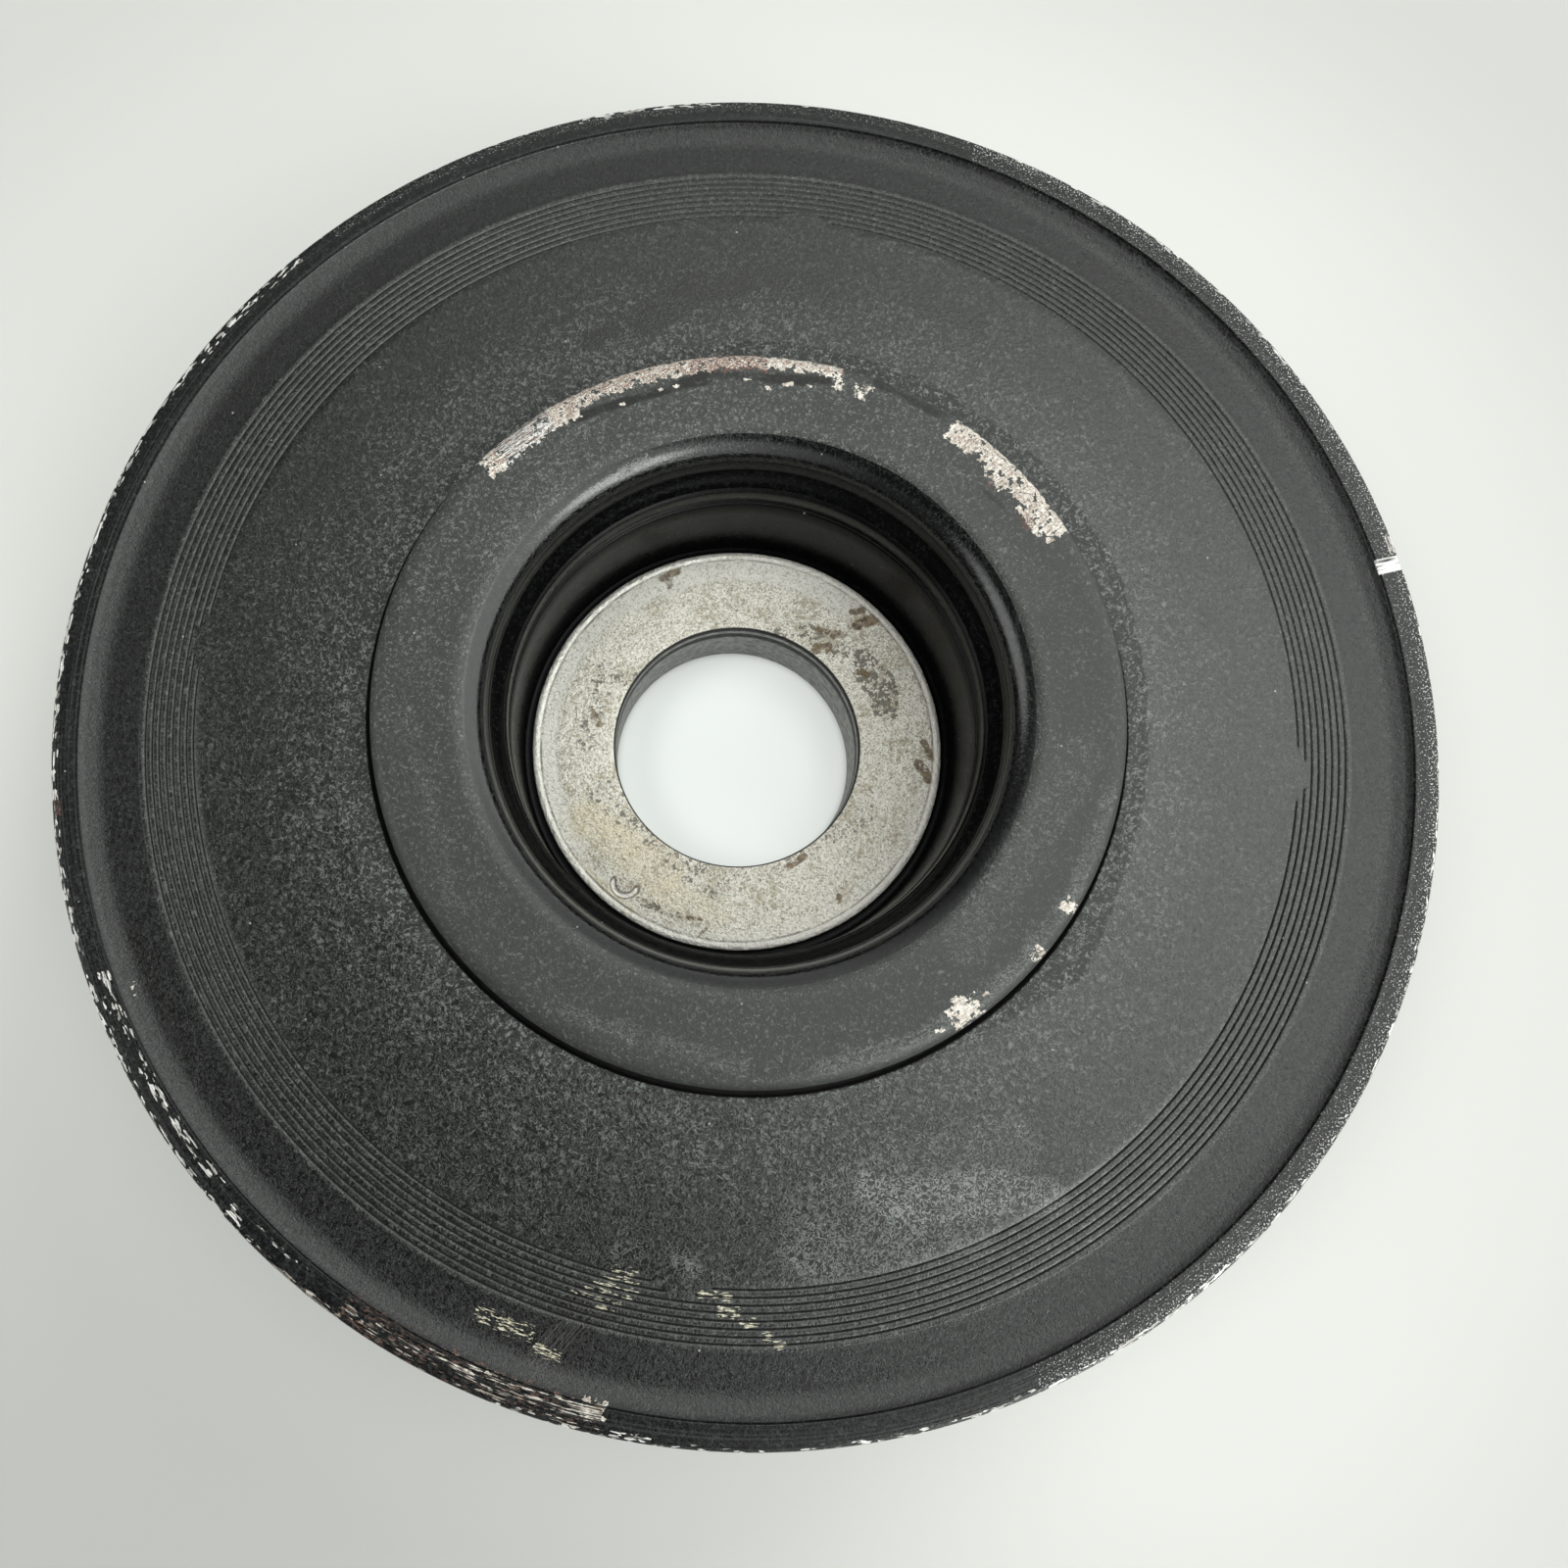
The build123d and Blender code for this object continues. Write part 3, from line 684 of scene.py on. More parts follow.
# Shares of bare metal, rust, specks and yellow paint round the rim and on the ridges: the materials'
# noise turns each share into flecks.
RIM_CHIPS = [
    (0, 360, 79.75, 80.2, 0.2, 0.20), (92, 105, 79.4, 80.2, 0.25, 0.42), (25, 64, 79.6, 80.2, 0.2, 0.30),
    (134, 147, 78.9, 80.2, 0.3, 0.40), (147, 203, 79.45, 80.2, 0.25, 0.48),
    (203, 225, 79.5, 80.2, 0.15, 0.55), (203, 212, 78.3, 79.1, 0.2, 0.16),
    (203, 213, 77.4, 78.2, 0.15, 0.34), (213, 222, 77.5, 78.3, 0.15, 0.44),
    (222, 225, 77.5, 78.2, 0.15, 0.15), (224.8, 226.2, 78.4, 79.4, 0.15, 0.62),
    (226, 233, 77.8, 78.3, 0.15, 0.16), (226, 237, 79.5, 80.2, 0.2, 0.28),
    (236.5, 252, 78.0, 79.2, 0.25, 0.30), (244, 257.5, 77.3, 78.8, 0.3, 0.33),
    (256.4, 258.3, 77.0, 78.4, 0.2, 0.55), (250, 262, 79.2, 80.2, 0.2, 0.30),
    (278, 312, 79.6, 80.2, 0.2, 0.40), (262, 278, 79.7, 80.2, 0.2, 0.28),
    (312, 350, 79.65, 80.2, 0.2, 0.30), (13.8, 15.4, 79.3, 80.2, 0.2, 0.65),
    (205, 206.2, 75.4, 76.0, 0.15, 0.35),
]
RIM_BRIGHT = [
    (14.2, 236, 77.2, 80.4, 0.6, 1.0), (258.5, 372, 77.2, 80.4, 0.6, 1.0),
    (236, 256, 78.3, 78.8, 0.3, 0.6), (240, 256, 79.4, 80.3, 0.3, 0.8),
]
RIM_RUST = [
    (236.5, 258, 77.0, 79.5, 0.3, 0.30), (228, 250, 79.6, 80.1, 0.2, 0.36),
    (188.6, 189.6, 79.0, 80.2, 0.3, 0.9),
]
RIM_SPECKS = [
    (0, 68, 77.4, 79.0, 0.4, 0.10), (0, 68, 78.9, 79.9, 0.3, 0.19), (292, 360, 77.4, 79.0, 0.4, 0.10),
    (292, 360, 78.9, 79.9, 0.3, 0.21), (68, 130, 78.6, 79.9, 0.4, 0.08),
]
YELLOW_MARKS = [
    (246, 251, 72.2, 73.2, 0.3, 0.30), (251.6, 253.8, 73.4, 74.2, 0.3, 0.42),
    (264.8, 267.6, 64.7, 65.4, 0.3, 0.50), (266.8, 268.6, 66.1, 66.8, 0.2, 0.48),
    (268.8, 270.2, 67.4, 68.0, 0.2, 0.48), (270.8, 271.4, 68.8, 69.3, 0.2, 0.5),
    (271.8, 272.6, 69.7, 70.2, 0.2, 0.65), (256.4, 258.2, 63.6, 64.2, 0.3, 0.44),
    (255.6, 259.2, 64.62, 64.92, 0.14, 0.52), (255.0, 259.0, 65.42, 65.72, 0.14, 0.50),
    (254.2, 258.6, 66.22, 66.52, 0.14, 0.50), (253.3, 257.8, 67.02, 67.32, 0.14, 0.44),
    (255.6, 257.4, 67.82, 68.1, 0.12, 0.36),
]
SCRATCHES = [(255.6, 67.8, 252.2, 74.2, 0.9, 1.0)]
WEB_STAINS = [
    (60, 57.3, 68, 56.4, 1.0, 0.8), (78, 55.8, 85, 55.6, 1.8, 0.8), (90, 55.2, 97, 54.2, 1.6, 1.0),
    (97, 54.2, 104, 51.2, 1.5, 1.0), (109, 51.0, 112, 50.4, 0.9, 0.9), (44, 63.8, 48, 63.5, 0.9, 0.5),
    (34, 72.6, 53, 72.6, 1.8, 0.55), (34, 69.0, 52, 69.0, 2.2, 0.6), (36, 66.0, 50, 66.0, 2.0, 0.5),
    (134, 74.2, 152, 74.2, 0.6, 0.7), (200, 74.2, 216, 74.2, 0.6, 0.7),
    (257, 63.5, 258.5, 60.8, 0.8, 0.9), (255.0, 68.4, 252.4, 73.8, 1.4, 1.6),
    (254, 76.4, 256, 73.0, 0.4, 0.5), (251, 69.8, 254, 68.6, 0.8, 0.6),
    (262, 61.6, 254, 62.6, 1.4, 0.45), (251, 62.0, 256, 61.0, 1.2, 0.45),
]
WEB_SCUFFS = [
    (300, 63.5, 296, 60.5, 1.6, 0.55), (296, 60.5, 286, 57.8, 1.9, 0.70),
    (286, 57.8, 283, 55.3, 1.4, 0.62), (256.5, 62.4, 258.0, 61.6, 0.9, 0.45),
    (262.5, 61.8, 264.0, 62.6, 0.8, 0.45), (292, 62.0, 276, 60.6, 2.6, 0.40),
    (276, 56.0, 300, 57.0, 2.4, 0.32),
]

PLAIN = np.arange(0, 360, 2.0)
COARSE = np.arange(0, 360, 1.0)
FINE = np.unique(np.concatenate([angles_with(BREAK_ANGLES, 0.5, 3.2, 0.2),
                                 np.round(np.arange(245, 275, 0.25), 4)]))
FINEST = np.unique(np.concatenate([FINE, angles_with([MARK_ANGLE], 0.25, 1.4, 0.05)]))
ring = lathe("ring", spaced(ring_profile(), ring_step), [PLAIN, COARSE, FINE, FINEST], ring_level, ring_shape)
angle, radius, height = polar_of(ring)
front = height > RIM_FRONT - 3
filled = sum(np.exp(-(gap_between(angle, place) * RIDGE_INNER * np.radians(1) / 2.6) ** 2)
             * (radius < RIDGE_INNER + 1.3) for place in BREAK_ANGLES)
on_rim = (radius > RIM_INNER - 0.12) & (height > RIM_FRONT - 1)
paint_fields(
    ring, front,
    bare=arcs(angle, radius, RIM_CHIPS),
    rust=arcs(angle, radius, RIM_RUST),
    stain=strokes(angle, radius, WEB_STAINS),
    scuff=strokes(angle, radius, WEB_SCUFFS),
    yellow=arcs(angle, radius, YELLOW_MARKS),
    # How strongly the painted shade shows in the groove roots: less at the breaks and where paint fills the
    # lines.
    ridge=np.clip(1 - 1.4 * filled, 0, 1) * (1 - 0.55 * faint_at(angle)),
    bright=arcs(angle, radius, RIM_BRIGHT),
    speck=arcs(angle, radius, RIM_SPECKS),
    scratch=strokes(angle, radius, SCRATCHES),
    # Painted light: the web's paint lightened towards the hub.
    pale=0.30 * np.clip((58 - radius) / 10, 0, 1),
    mark=np.clip((MARK_WIDTH / 2 + 0.08 - from_mark(angle, radius)) / 0.12, 0, 1) * on_rim)
ring.data.materials.append(painted(
    "ring_paint", 0.50, 0.055, 0.29, specular=1.0, wear=("scratches", "yellow", "grooves")))
ring.data.materials.append(painted(
    "rim_paint", 0.40, 0.02, 0.28, (0.0024, 0.0027, 0.0026), 0.52, wear=("chips", "lines", "mark")))
ring.data.materials.append(painted(
    "turned_paint", 0.42, 0.05, 0.30, (0.0018, 0.0020, 0.0019), 0.84, wear=("scratches", "yellow", "chips")))
for face in ring.data.polygons:
    middle = face.center / MM
    across = math.hypot(middle.x, middle.y)
    if middle.z > RIM_FRONT - 3 and across > RIDGE_OUTER - 0.05:
        face.material_index = 1 if across > RIM_INNER - 0.06 else 2
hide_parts("pulley_ring")
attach(ring, "root")

# ---- Rubber with its irregular film ----
FILM_EDGE = [
    (0, 46.8), (22, 47.6), (60, 47.2), (90, 46.8), (112, 46.2), (128, 45.5), (150, 46.4), (168, 46.9),
    (190, 48.1), (210, 48.4), (216, 46.6), (228, 47.0), (240, 47.1), (249, 45.0), (275, 44.9),
    (300, 45.2), (312, 46.6), (320, 48.6), (335, 47.0),
]
rubber_profile = rounded([
    (HUB_RADIUS, 3.0, 0.5, 2), (WEB_HOLE_RADIUS, 3.0, 0.5, 2), (WEB_HOLE_RADIUS, WEB_FRONT, 0, 0),
    (46.0, WEB_FRONT, 0, 0), (46.7, WEB_FRONT, 0, 0), (46.6, WEB_FRONT + 0.1, 0.06, 2),
    (WEB_HOLE_RADIUS - 0.2, WEB_FRONT + 0.25, 0.15, 3), (WEB_HOLE_RADIUS - 0.2, 27.3, 0.4, 3),
    (HUB_RADIUS, 27.3, 0.3, 2)])


def film_shape(angle, radius, height):
    """Moves the film's outer edge in and out round the hole."""
    at, edge = zip(*(FILM_EDGE + [(360, FILM_EDGE[0][1])]))
    outer = np.interp(angle, at, edge) + 0.12 * ripple(angle, 3, (17, 29, 41, 67))
    outer = np.maximum(outer, WEB_HOLE_RADIUS + 0.35)
    share = np.clip((radius - WEB_HOLE_RADIUS) / 2.2, 0, 1)
    moved = WEB_HOLE_RADIUS + share * (outer - WEB_HOLE_RADIUS)
    return np.where(radius > WEB_HOLE_RADIUS, moved, radius), height


rubber_piece = lathe("rubber_film", spaced(rubber_profile, lambda r, z: 0.5 if z > 29 else 6.0),
                     [np.arange(0, 360, 0.5)], shape=film_shape)
angle, radius, height = polar_of(rubber_piece)
pits = [(a, r, a + 0.2, r - 0.5, 0.16, 1.0) for a, r in ((333.9, 46.2), (336.6, 45.7), (338.2, 45.4),
                                                        (340.8, 45.0), (343.3, 45.0))]
paint_fields(rubber_piece, 1, stain=strokes(angle, radius, pits), pale=np.full_like(angle, 0.30))
rubber_piece.data.materials.append(rubber())
rubber_piece.data.materials.append(painted(
    "film_paint", 0.50, 0.07, 0.38, (0.0190, 0.0200, 0.0190), 0.50, peak=8))
for face in rubber_piece.data.polygons:
    if face.center.z > (WEB_FRONT - 0.1) * MM:
        face.material_index = 1
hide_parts("rubber_ring")
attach(rubber_piece, "root")

# ---- Flange plate ----
FLANGE_BACK = FLANGE_FRONT - 4.5
THROAT, FOOT = 30.2, 28.75
flange_profile = rounded([
    (FOOT + 0.35, HUB_END, 0, 0), (FOOT, HUB_END + 0.35, 0.15, 3), (THROAT, FLANGE_FRONT - 4.4, 0.2, 2),
    (THROAT, FLANGE_FRONT, 4.3, 12), (FLANGE_RADIUS, FLANGE_FRONT, 2.5, 8),
    (FLANGE_RADIUS, FLANGE_BACK, 1.0, 3), (THROAT + 4.5, FLANGE_BACK, 1.0, 3), (THROAT + 4.5, HUB_END, 0, 0)])
FLANGE_BARE = [
    (29, 53.5, 40.2, 42.5, 0.7, 0.92), (30.5, 36, 39.3, 40.4, 0.6, 0.75),
    (41, 44, 39.2, 40.4, 0.6, 0.75), (74.5, 97, 41.2, 42.7, 0.5, 0.85), (96, 121, 40.9, 42.7, 0.6, 0.88),
    (120, 137.5, 40.2, 42.7, 0.7, 0.95), (301, 305.5, 41.0, 42.9, 0.5, 0.80),
    (302.6, 304, 40.2, 41.2, 0.4, 0.75), (316.4, 318, 41.8, 42.9, 0.4, 0.8),
    (325.2, 327, 41.5, 42.9, 0.4, 0.85), (69.2, 71.0, 39.7, 40.7, 0.5, 0.72),
    (68.4, 69.8, 40.6, 41.2, 0.5, 0.66), (73.4, 74.9, 39.8, 40.8, 0.5, 0.66),
]
FLANGE_CHIPS = [
    (82, 39.2, 83.5, 39.1, 0.12, 1.2), (78.6, 39.3, 79.2, 39.3, 0.10, 1.1),
    (89.3, 39.3, 90.2, 39.3, 0.14, 1.2), (102, 39.4, 102.4, 39.4, 0.12, 1.2),
    (104.8, 39.4, 105.2, 39.4, 0.12, 1.2), (112, 39.1, 112.3, 39.0, 0.12, 1.2),
    (86, 38.4, 86.2, 38.4, 0.10, 1.2), (298, 42.0, 299, 42.3, 0.15, 1.2),
    (307, 41.6, 307.5, 41.5, 0.12, 1.2),
]
FLANGE_RUST = [
    (87, 99, 41.0, 43.0, 0.8, 1.30), (100, 121, 41.0, 42.9, 0.6, 0.90),
    (121, 137, 40.4, 42.5, 0.5, 0.62), (74, 86, 41.8, 42.8, 0.4, 0.45), (30, 53, 40.2, 42.4, 0.5, 0.36),
    (88, 91, 41.4, 43.0, 0.3, 1.2), (32, 34.5, 38.4, 39.8, 0.4, 0.7), (41.5, 43.5, 38.4, 39.6, 0.4, 0.7),
    (316.8, 317.8, 42.0, 42.8, 0.3, 0.9),
]
# Scuffs on the flange; the four arcs along its rounded edge, 280 to 345 degrees, are a painted highlight.
FLANGE_SCUFFS_AND_HIGHLIGHT = [
    (280, 41.6, 296, 41.8, 0.7, 0.40), (296, 41.8, 312, 41.8, 0.7, 0.45),
    (312, 41.8, 328, 41.8, 0.7, 0.40), (328, 41.8, 345, 41.8, 0.7, 0.35),
    (112, 31.9, 118, 31.5, 0.35, 0.7), (310, 36, 350, 38, 2.0, 0.3), (240, 40.5, 268, 41, 0.8, 0.3),
    (20, 36, 60, 37, 2.0, 0.22), (120, 37.5, 150, 36, 1.6, 0.25), (182, 39, 215, 40, 0.8, 0.25),
]
FLANGE_STAINS = [
    (76, 40.5, 97, 40.4, 0.35, 0.9), (97, 40.2, 121, 39.9, 0.4, 0.9), (80, 39.4, 92, 39.5, 0.12, 1.1),
    (96, 39.3, 112, 39.2, 0.14, 1.1), (56, 42.0, 68, 42.2, 0.5, 0.6), (38, 38.0, 42, 37.6, 0.25, 0.8),
    (116, 31.6, 117, 31.2, 0.12, 1.2), (119, 31.3, 119.4, 31.0, 0.12, 1.2),
]
flange_points = spaced(flange_profile, lambda r, z: 0.34 if z > FLANGE_FRONT - 3 and r > 30 else 2.0)
flange = lathe("flange_plate", flange_points, [np.arange(0, 360, 0.3)])
angle, radius, height = polar_of(flange)
front = height > FLANGE_BACK + 0.6
bare = np.maximum(arcs(angle, radius, FLANGE_BARE), strokes(angle, radius, FLANGE_CHIPS))
paint_fields(
    flange, front, bare=bare,
    rust=arcs(angle, radius, FLANGE_RUST),
    scuff=strokes(angle, radius, FLANGE_SCUFFS_AND_HIGHLIGHT),
    # Painted light: the flange's paint lightened on the side round 112 degrees.
    pale=0.28 * np.clip(np.cos(np.radians(angle - 112)), 0, 1),
    bright=arcs(angle, radius, [(125, 134, 40.2, 43.0, 0.8, 1.0)]))
paint_fields(flange, 1, stain=strokes(angle, radius, FLANGE_STAINS), gloss=np.clip((35 - radius) / 2, 0, 1))
flange.data.materials.append(painted(
    "flange_paint", 0.46, 0.05, 0.42, (0.0335, 0.0350, 0.0332), 0.50, peak=4, wear=("chips",)))
flange.data.materials.append(painted(
    "throat_paint", 0.42, 0.02, 0.26, (0.0040, 0.0044, 0.0043), 1.0, peak=4))
for face in flange.data.polygons:
    middle = face.center / MM
    if math.hypot(middle.x, middle.y) < 32.6:
        face.material_index = 1 if middle.z > FLANGE_FRONT - 2.7 else 2
recess_paint = painted("recess_paint", 0.6, 0.012, 0.30, (0.0022, 0.0024, 0.0023), 0.14, peak=6)
flange.data.materials.append(recess_paint)
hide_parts("hub_flange")
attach(flange, "root")

# ---- Hub ----
hub_profile = rounded([
    (16.52, 0, 0.1, 1), (BORE_RADIUS, 3.1, 0.2, 2), (BORE_RADIUS, SEAT_HEIGHT - 0.3, 0.05, 1),
    (BORE_RADIUS + 0.3, SEAT_HEIGHT, 0.06, 2), (SEAT_RADIUS - 1.05, SEAT_HEIGHT, 0.2, 2),
    (SEAT_RADIUS - 0.95, SEAT_HEIGHT - 0.06, 0.04, 1), (SEAT_RADIUS - 0.55, SEAT_HEIGHT + 0.14, 0.2, 4),
    (SEAT_RADIUS, SEAT_HEIGHT - 0.08, 0.2, 4), (SEAT_RADIUS, SEAT_HEIGHT - 1.3, 0.2, 2),
    (RECESS_RADIUS, SEAT_HEIGHT - 1.3, 0.5, 3), (RECESS_RADIUS, HUB_END - 3.75, 0.08, 1),
    (RECESS_RADIUS + 0.45, HUB_END - 3.45, 0.12, 1), (RECESS_RADIUS - 0.05, HUB_END - 3.15, 0.12, 2),
    (RECESS_RADIUS - 0.05, HUB_END - 2.85, 0.12, 2), (RECESS_RADIUS + 0.45, HUB_END - 2.55, 0.12, 1),
    (RECESS_RADIUS, HUB_END - 2.25, 0.08, 1),
    (RECESS_RADIUS, HUB_END - 0.35, 0.1, 2), (RECESS_RADIUS + 0.35, HUB_END, 0, 0),
    (HUB_RADIUS, HUB_END, 0.2, 1), (HUB_RADIUS, 2.0, 0.2, 1), (HUB_RADIUS - 2.0, 2.0, 0.1, 1),
    (HUB_RADIUS - 2.0, 0, 0.6, 1)])
SEAT_RUST = [
    (43, 25.9, 45.5, 23.8, 0.55, 0.9), (47.5, 25.8, 49.5, 24.6, 0.35, 0.85),
    (108, 25.9, 113, 25.4, 0.45, 0.7), (111, 25.4, 112, 24.0, 0.40, 0.6),
    (302, 24.6, 303, 24.2, 0.30, 0.7), (350, 25.9, 354, 24.4, 0.50, 0.9),
    (356, 26.0, 1, 25.0, 0.35, 0.9), (167, 20.0, 171, 18.6, 0.40, 0.65), (47, 21.4, 49, 20.4, 0.45, 0.7),
    (52, 20.2, 56, 19.6, 0.35, 0.7), (48, 18.6, 51, 17.2, 0.50, 0.8), (29, 20.2, 32, 19.4, 0.35, 0.8),
    (258, 26.0, 260, 24.9, 0.20, 0.6), (290, 17.8, 300, 17.3, 0.35, 0.7),
    (254, 24.0, 258, 23.9, 0.25, 0.6),
]
SEAT_STAINS = [
    (14, 20.8, 34, 20.8, 1.4, 0.85), (20, 22.6, 28, 22.2, 0.7, 0.8), (40, 19.5, 60, 18.6, 1.0, 0.7),
    (200, 19.0, 262, 19.2, 1.8, 0.55), (150, 20.5, 178, 20, 1.4, 0.55), (262, 19, 330, 18.8, 1.8, 0.5),
    (64, 18.4, 150, 18.2, 1.0, 0.55), (238, 24.6, 252, 24.2, 0.4, 0.7),
]
SEAT_YELLOW = [
    (208, 22.3, 240, 20.3, 2.0, 0.9), (215, 26.6, 240, 26.6, 0.5, 0.8), (240, 23, 262, 22.5, 1.5, 0.5),
]
SEAT_SMOOTH = [
    (50, 24.6, 125, 24.8, 1.1, 1.0), (125, 25.0, 215, 25.2, 0.7, 0.9), (355, 25.2, 50, 24.9, 0.8, 0.8),
    (215, 25.4, 355, 25.6, 0.5, 0.5),
]
DENT_ANGLE, DENT_RADIUS, DENT_SIZE = 231.5, 23.7, 1.65


def dent_at(angle, radius):
    """0 to 1: the crescent that a slipped tool left on the seat."""
    x = radius * np.cos(np.radians(angle)) - DENT_RADIUS * math.cos(math.radians(DENT_ANGLE))
    y = radius * np.sin(np.radians(angle)) - DENT_RADIUS * math.sin(math.radians(DENT_ANGLE))
    turn = np.degrees(np.arctan2(y, x))
    ring_part = np.exp(-((np.hypot(x, y) - DENT_SIZE) / 0.32) ** 2)
    return ring_part * np.clip((105 - np.abs(gap_between(turn, 250))) / 25, 0, 1)


def seat_shape(angle, radius, height):
    """Presses the crescent into the seat."""
    on_seat = (height > SEAT_HEIGHT - 0.1) & (radius < SEAT_RADIUS - 1.0)
    return radius, height - 0.22 * dent_at(angle, radius) * on_seat


def hub_step(r, z):
    """Longest stretch of the profile: short on the seat, and shortest where the crescent is."""
    if z < 11 or z > 11.4:
        return 3.0
    return 0.16 if r > 22.5 else 0.26


hub = lathe("hub_cup", spaced(hub_profile, hub_step), [angles_with([DENT_ANGLE], 0.5, 5.0, 0.2)],
            shape=seat_shape)
angle, radius, height = polar_of(hub)
seat = (height > SEAT_HEIGHT - 0.4) & (height < SEAT_HEIGHT + 0.1)
smooth = arcs(angle, radius, [(a0, a1, r0 - w, r1 + w, 0.8, k) for a0, r0, a1, r1, w, k in SEAT_SMOOTH])
paint_fields(
    hub, seat, smooth=smooth,
    rust=strokes(angle, radius, SEAT_RUST),
    stain=strokes(angle, radius, SEAT_STAINS),
    yellow=strokes(angle, radius, SEAT_YELLOW),
    dent=dent_at(angle, radius),
    burnish=np.clip((radius - SEAT_RADIUS + 1.15) / 0.2, 0, 1))
hub.data.materials.append(plain_steel("hub_steel"))
hub.data.materials.append(recess_paint)
for face in hub.data.polygons:
    middle = face.center / MM
    across = math.hypot(middle.x, middle.y)
    on_wall = across > SEAT_RADIUS - 0.02 and middle.z > 2.3
    on_edge = across < SEAT_RADIUS + 0.05 and SEAT_HEIGHT - 0.2 < middle.z < SEAT_HEIGHT + 0.1
    if on_wall and not on_edge:
        face.material_index = 1
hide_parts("hub")
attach(hub, "root")

# ---- Table, light and camera ----
table_mesh = bpy.data.meshes.new("table")
table_mesh.from_pydata([(-3, -3, 0), (3, -3, 0), (3, 3, 0), (-3, 3, 0)], [], [(0, 1, 2, 3)])
table = in_scene("table", table_mesh)
g = Graph("table_top")
soft = g.noise(g.scaled(60), detail=3, seed=1.0)
# Painted light: the table under the bore is paler and glows faintly to the camera, standing in for the light
# that falls through the bore.
lit_under_bore = g.ramp(g.radius(), 17.5, 15.5)
board = g.mix(soft, (0.600, 0.603, 0.582), (0.625, 0.628, 0.607))
# Painted shade: the table darkens away from the part, towards the corners.
board = g.mix(g.ramp(g.radius(), 100, 175), board, (0.485, 0.487, 0.471))
# Painted shadow: the table darkens towards the lower left, where the part's shadow falls.
board = g.mix(g.ramp(g.slope((-0.55, -0.83)), 40, 150), board, (0.385, 0.387, 0.376))
table_mesh.materials.append(g.finish(g.mix(lit_under_bore, board, (0.70, 0.72, 0.70)), 0.6))
# The faint glow under the bore, seen only by the camera: painted light.
seen = g.node("ShaderNodeLightPath").outputs["Is Camera Ray"]
g.shader.inputs["Emission Color"].default_value = (0.95, 1.0, 0.97, 1.0)
g.link(g.mul(g.mul(seen, lit_under_bore), 0.38), g.shader.inputs["Emission Strength"])


def area_light(name, place, size, power, color):
    """Round soft lamp that looks at the part and shows in no reflection."""
    data = bpy.data.lights.new(name, "AREA")
    data.shape, data.size, data.energy, data.color = "DISK", size, power, color
    lamp = in_scene(name, data)
    lamp.location = place
    lamp.rotation_euler = (-Vector(place)).to_track_quat("-Z", "Y").to_euler()
    lamp.visible_glossy = False


area_light("window", (1.05, 1.33, 1.06), 1.0, 16.0, (1.0, 1.0, 0.975))
area_light("ceiling", (-0.95, -0.10, 1.55), 0.9, 13.0, (1.0, 1.0, 0.98))

world = bpy.data.worlds.new("room")
bpy.context.scene.world = world
world.use_nodes = True
tree = world.node_tree
tree.nodes.clear()
world_out = tree.nodes.new("ShaderNodeOutputWorld")
background = tree.nodes.new("ShaderNodeBackground")
tree.links.new(background.outputs[0], world_out.inputs["Surface"])
background.inputs["Color"].default_value = (0.955, 0.985, 0.955, 1)
coords = tree.nodes.new("ShaderNodeTexCoord")


def world_blob(direction, inner, outer):
    """0 to 1: how close the looked-at direction is to one place in the room, in degrees."""
    dot = tree.nodes.new("ShaderNodeVectorMath")
    dot.operation = "DOT_PRODUCT"
    tree.links.new(coords.outputs["Generated"], dot.inputs[0])
    dot.inputs[1].default_value = Vector(direction).normalized()
    shape = tree.nodes.new("ShaderNodeMapRange")
    shape.interpolation_type = "SMOOTHSTEP"
    tree.links.new(dot.outputs["Value"], shape.inputs["Value"])
    shape.inputs["From Min"].default_value = math.cos(math.radians(outer))
    shape.inputs["From Max"].default_value = math.cos(math.radians(inner))
    return shape.outputs["Result"]


def world_math(operation, a, b):
    made = tree.nodes.new("ShaderNodeMath")
    made.operation = operation
    for socket, value in zip(made.inputs, (a, b)):
        if isinstance(value, bpy.types.NodeSocket):
            tree.links.new(value, socket)
        else:
            socket.default_value = value
    return made.outputs[0]


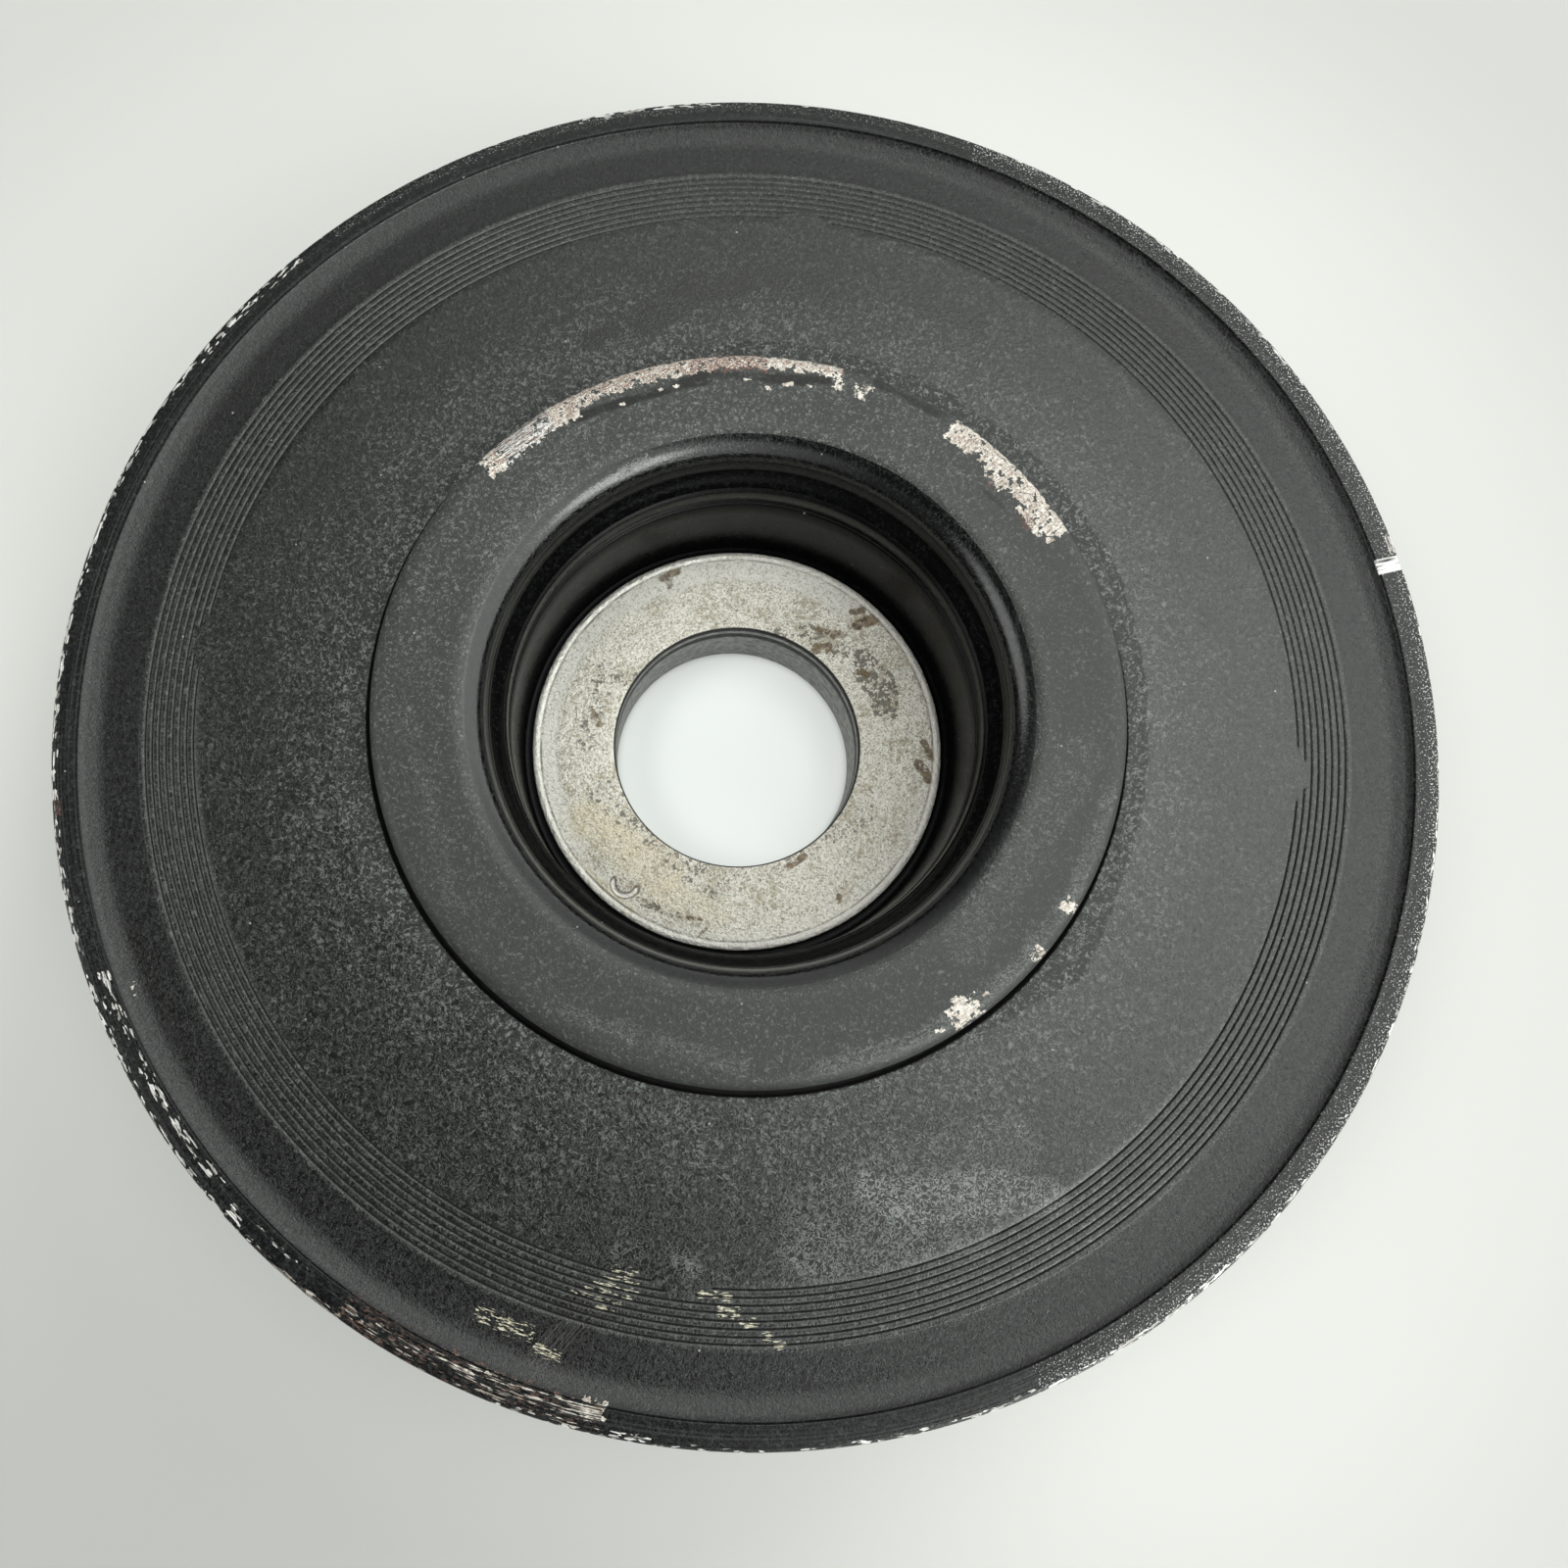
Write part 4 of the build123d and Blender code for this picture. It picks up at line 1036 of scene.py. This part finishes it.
sideways = tree.nodes.new("ShaderNodeSeparateXYZ")
tree.links.new(coords.outputs["Generated"], sideways.inputs[0])
slope = tree.nodes.new("ShaderNodeMapRange")
tree.links.new(sideways.outputs["X"], slope.inputs["Value"])
for key, number in (("From Min", -0.50), ("From Max", 0.60), ("To Min", 0.08), ("To Max", 1.52)):
    slope.inputs[key].default_value = number
dark = world_math("MULTIPLY", world_blob((-0.28, -0.25, 1.0), 18, 35), 0.99)
light = world_math("MULTIPLY", slope.outputs["Result"], world_math("SUBTRACT", 1.0, dark))
upper = world_math("MULTIPLY", world_blob((0.45, 0.90, 0.50), 10, 32), 0.50)
light = world_math("MULTIPLY", light, world_math("SUBTRACT", 1.0, upper))
light = world_math("ADD", light, world_math("MULTIPLY", world_blob((-0.85, 0.0, 0.40), 10, 28), 1.6))
light = world_math("ADD", light, world_math("MULTIPLY", world_blob((0.58, -0.66, 0.50), 8, 22), 4.5))
light = world_math("ADD", light, world_math("MULTIPLY", world_blob((0.26, 0.24, 1.0), 8, 20), 1.5))
camera_ray = tree.nodes.new("ShaderNodeLightPath").outputs["Is Camera Ray"]
mixed = tree.nodes.new("ShaderNodeMix")
tree.links.new(camera_ray, mixed.inputs[0])
tree.links.new(light, mixed.inputs[2])
mixed.inputs[3].default_value = 0.85
tree.links.new(mixed.outputs[0], background.inputs["Strength"])

PHOTO_WIDTH = 1600
FOCAL_PX = 1095.0
CENTRE_PX = (687.82, 842.01)
CAMERA_PLACE = Vector((-9.644, -34.551, 150.689)) * MM
camera_data = bpy.data.cameras.new("camera")
camera_data.sensor_width = 36.0
camera_data.lens = FOCAL_PX * camera_data.sensor_width / PHOTO_WIDTH
camera_data.shift_x = (PHOTO_WIDTH / 2 - CENTRE_PX[0]) / PHOTO_WIDTH
camera_data.shift_y = (CENTRE_PX[1] - PHOTO_WIDTH / 2) / PHOTO_WIDTH
camera_data.clip_start = 0.01
camera = in_scene("camera", camera_data)
camera.matrix_world = (Matrix.Translation(CAMERA_PLACE) @ Matrix.Rotation(math.radians(-0.502), 4, "Y")
                       @ Matrix.Rotation(math.radians(9.637), 4, "X"))
bpy.context.scene.camera = camera
bpy.context.scene.view_settings.view_transform = "Standard"
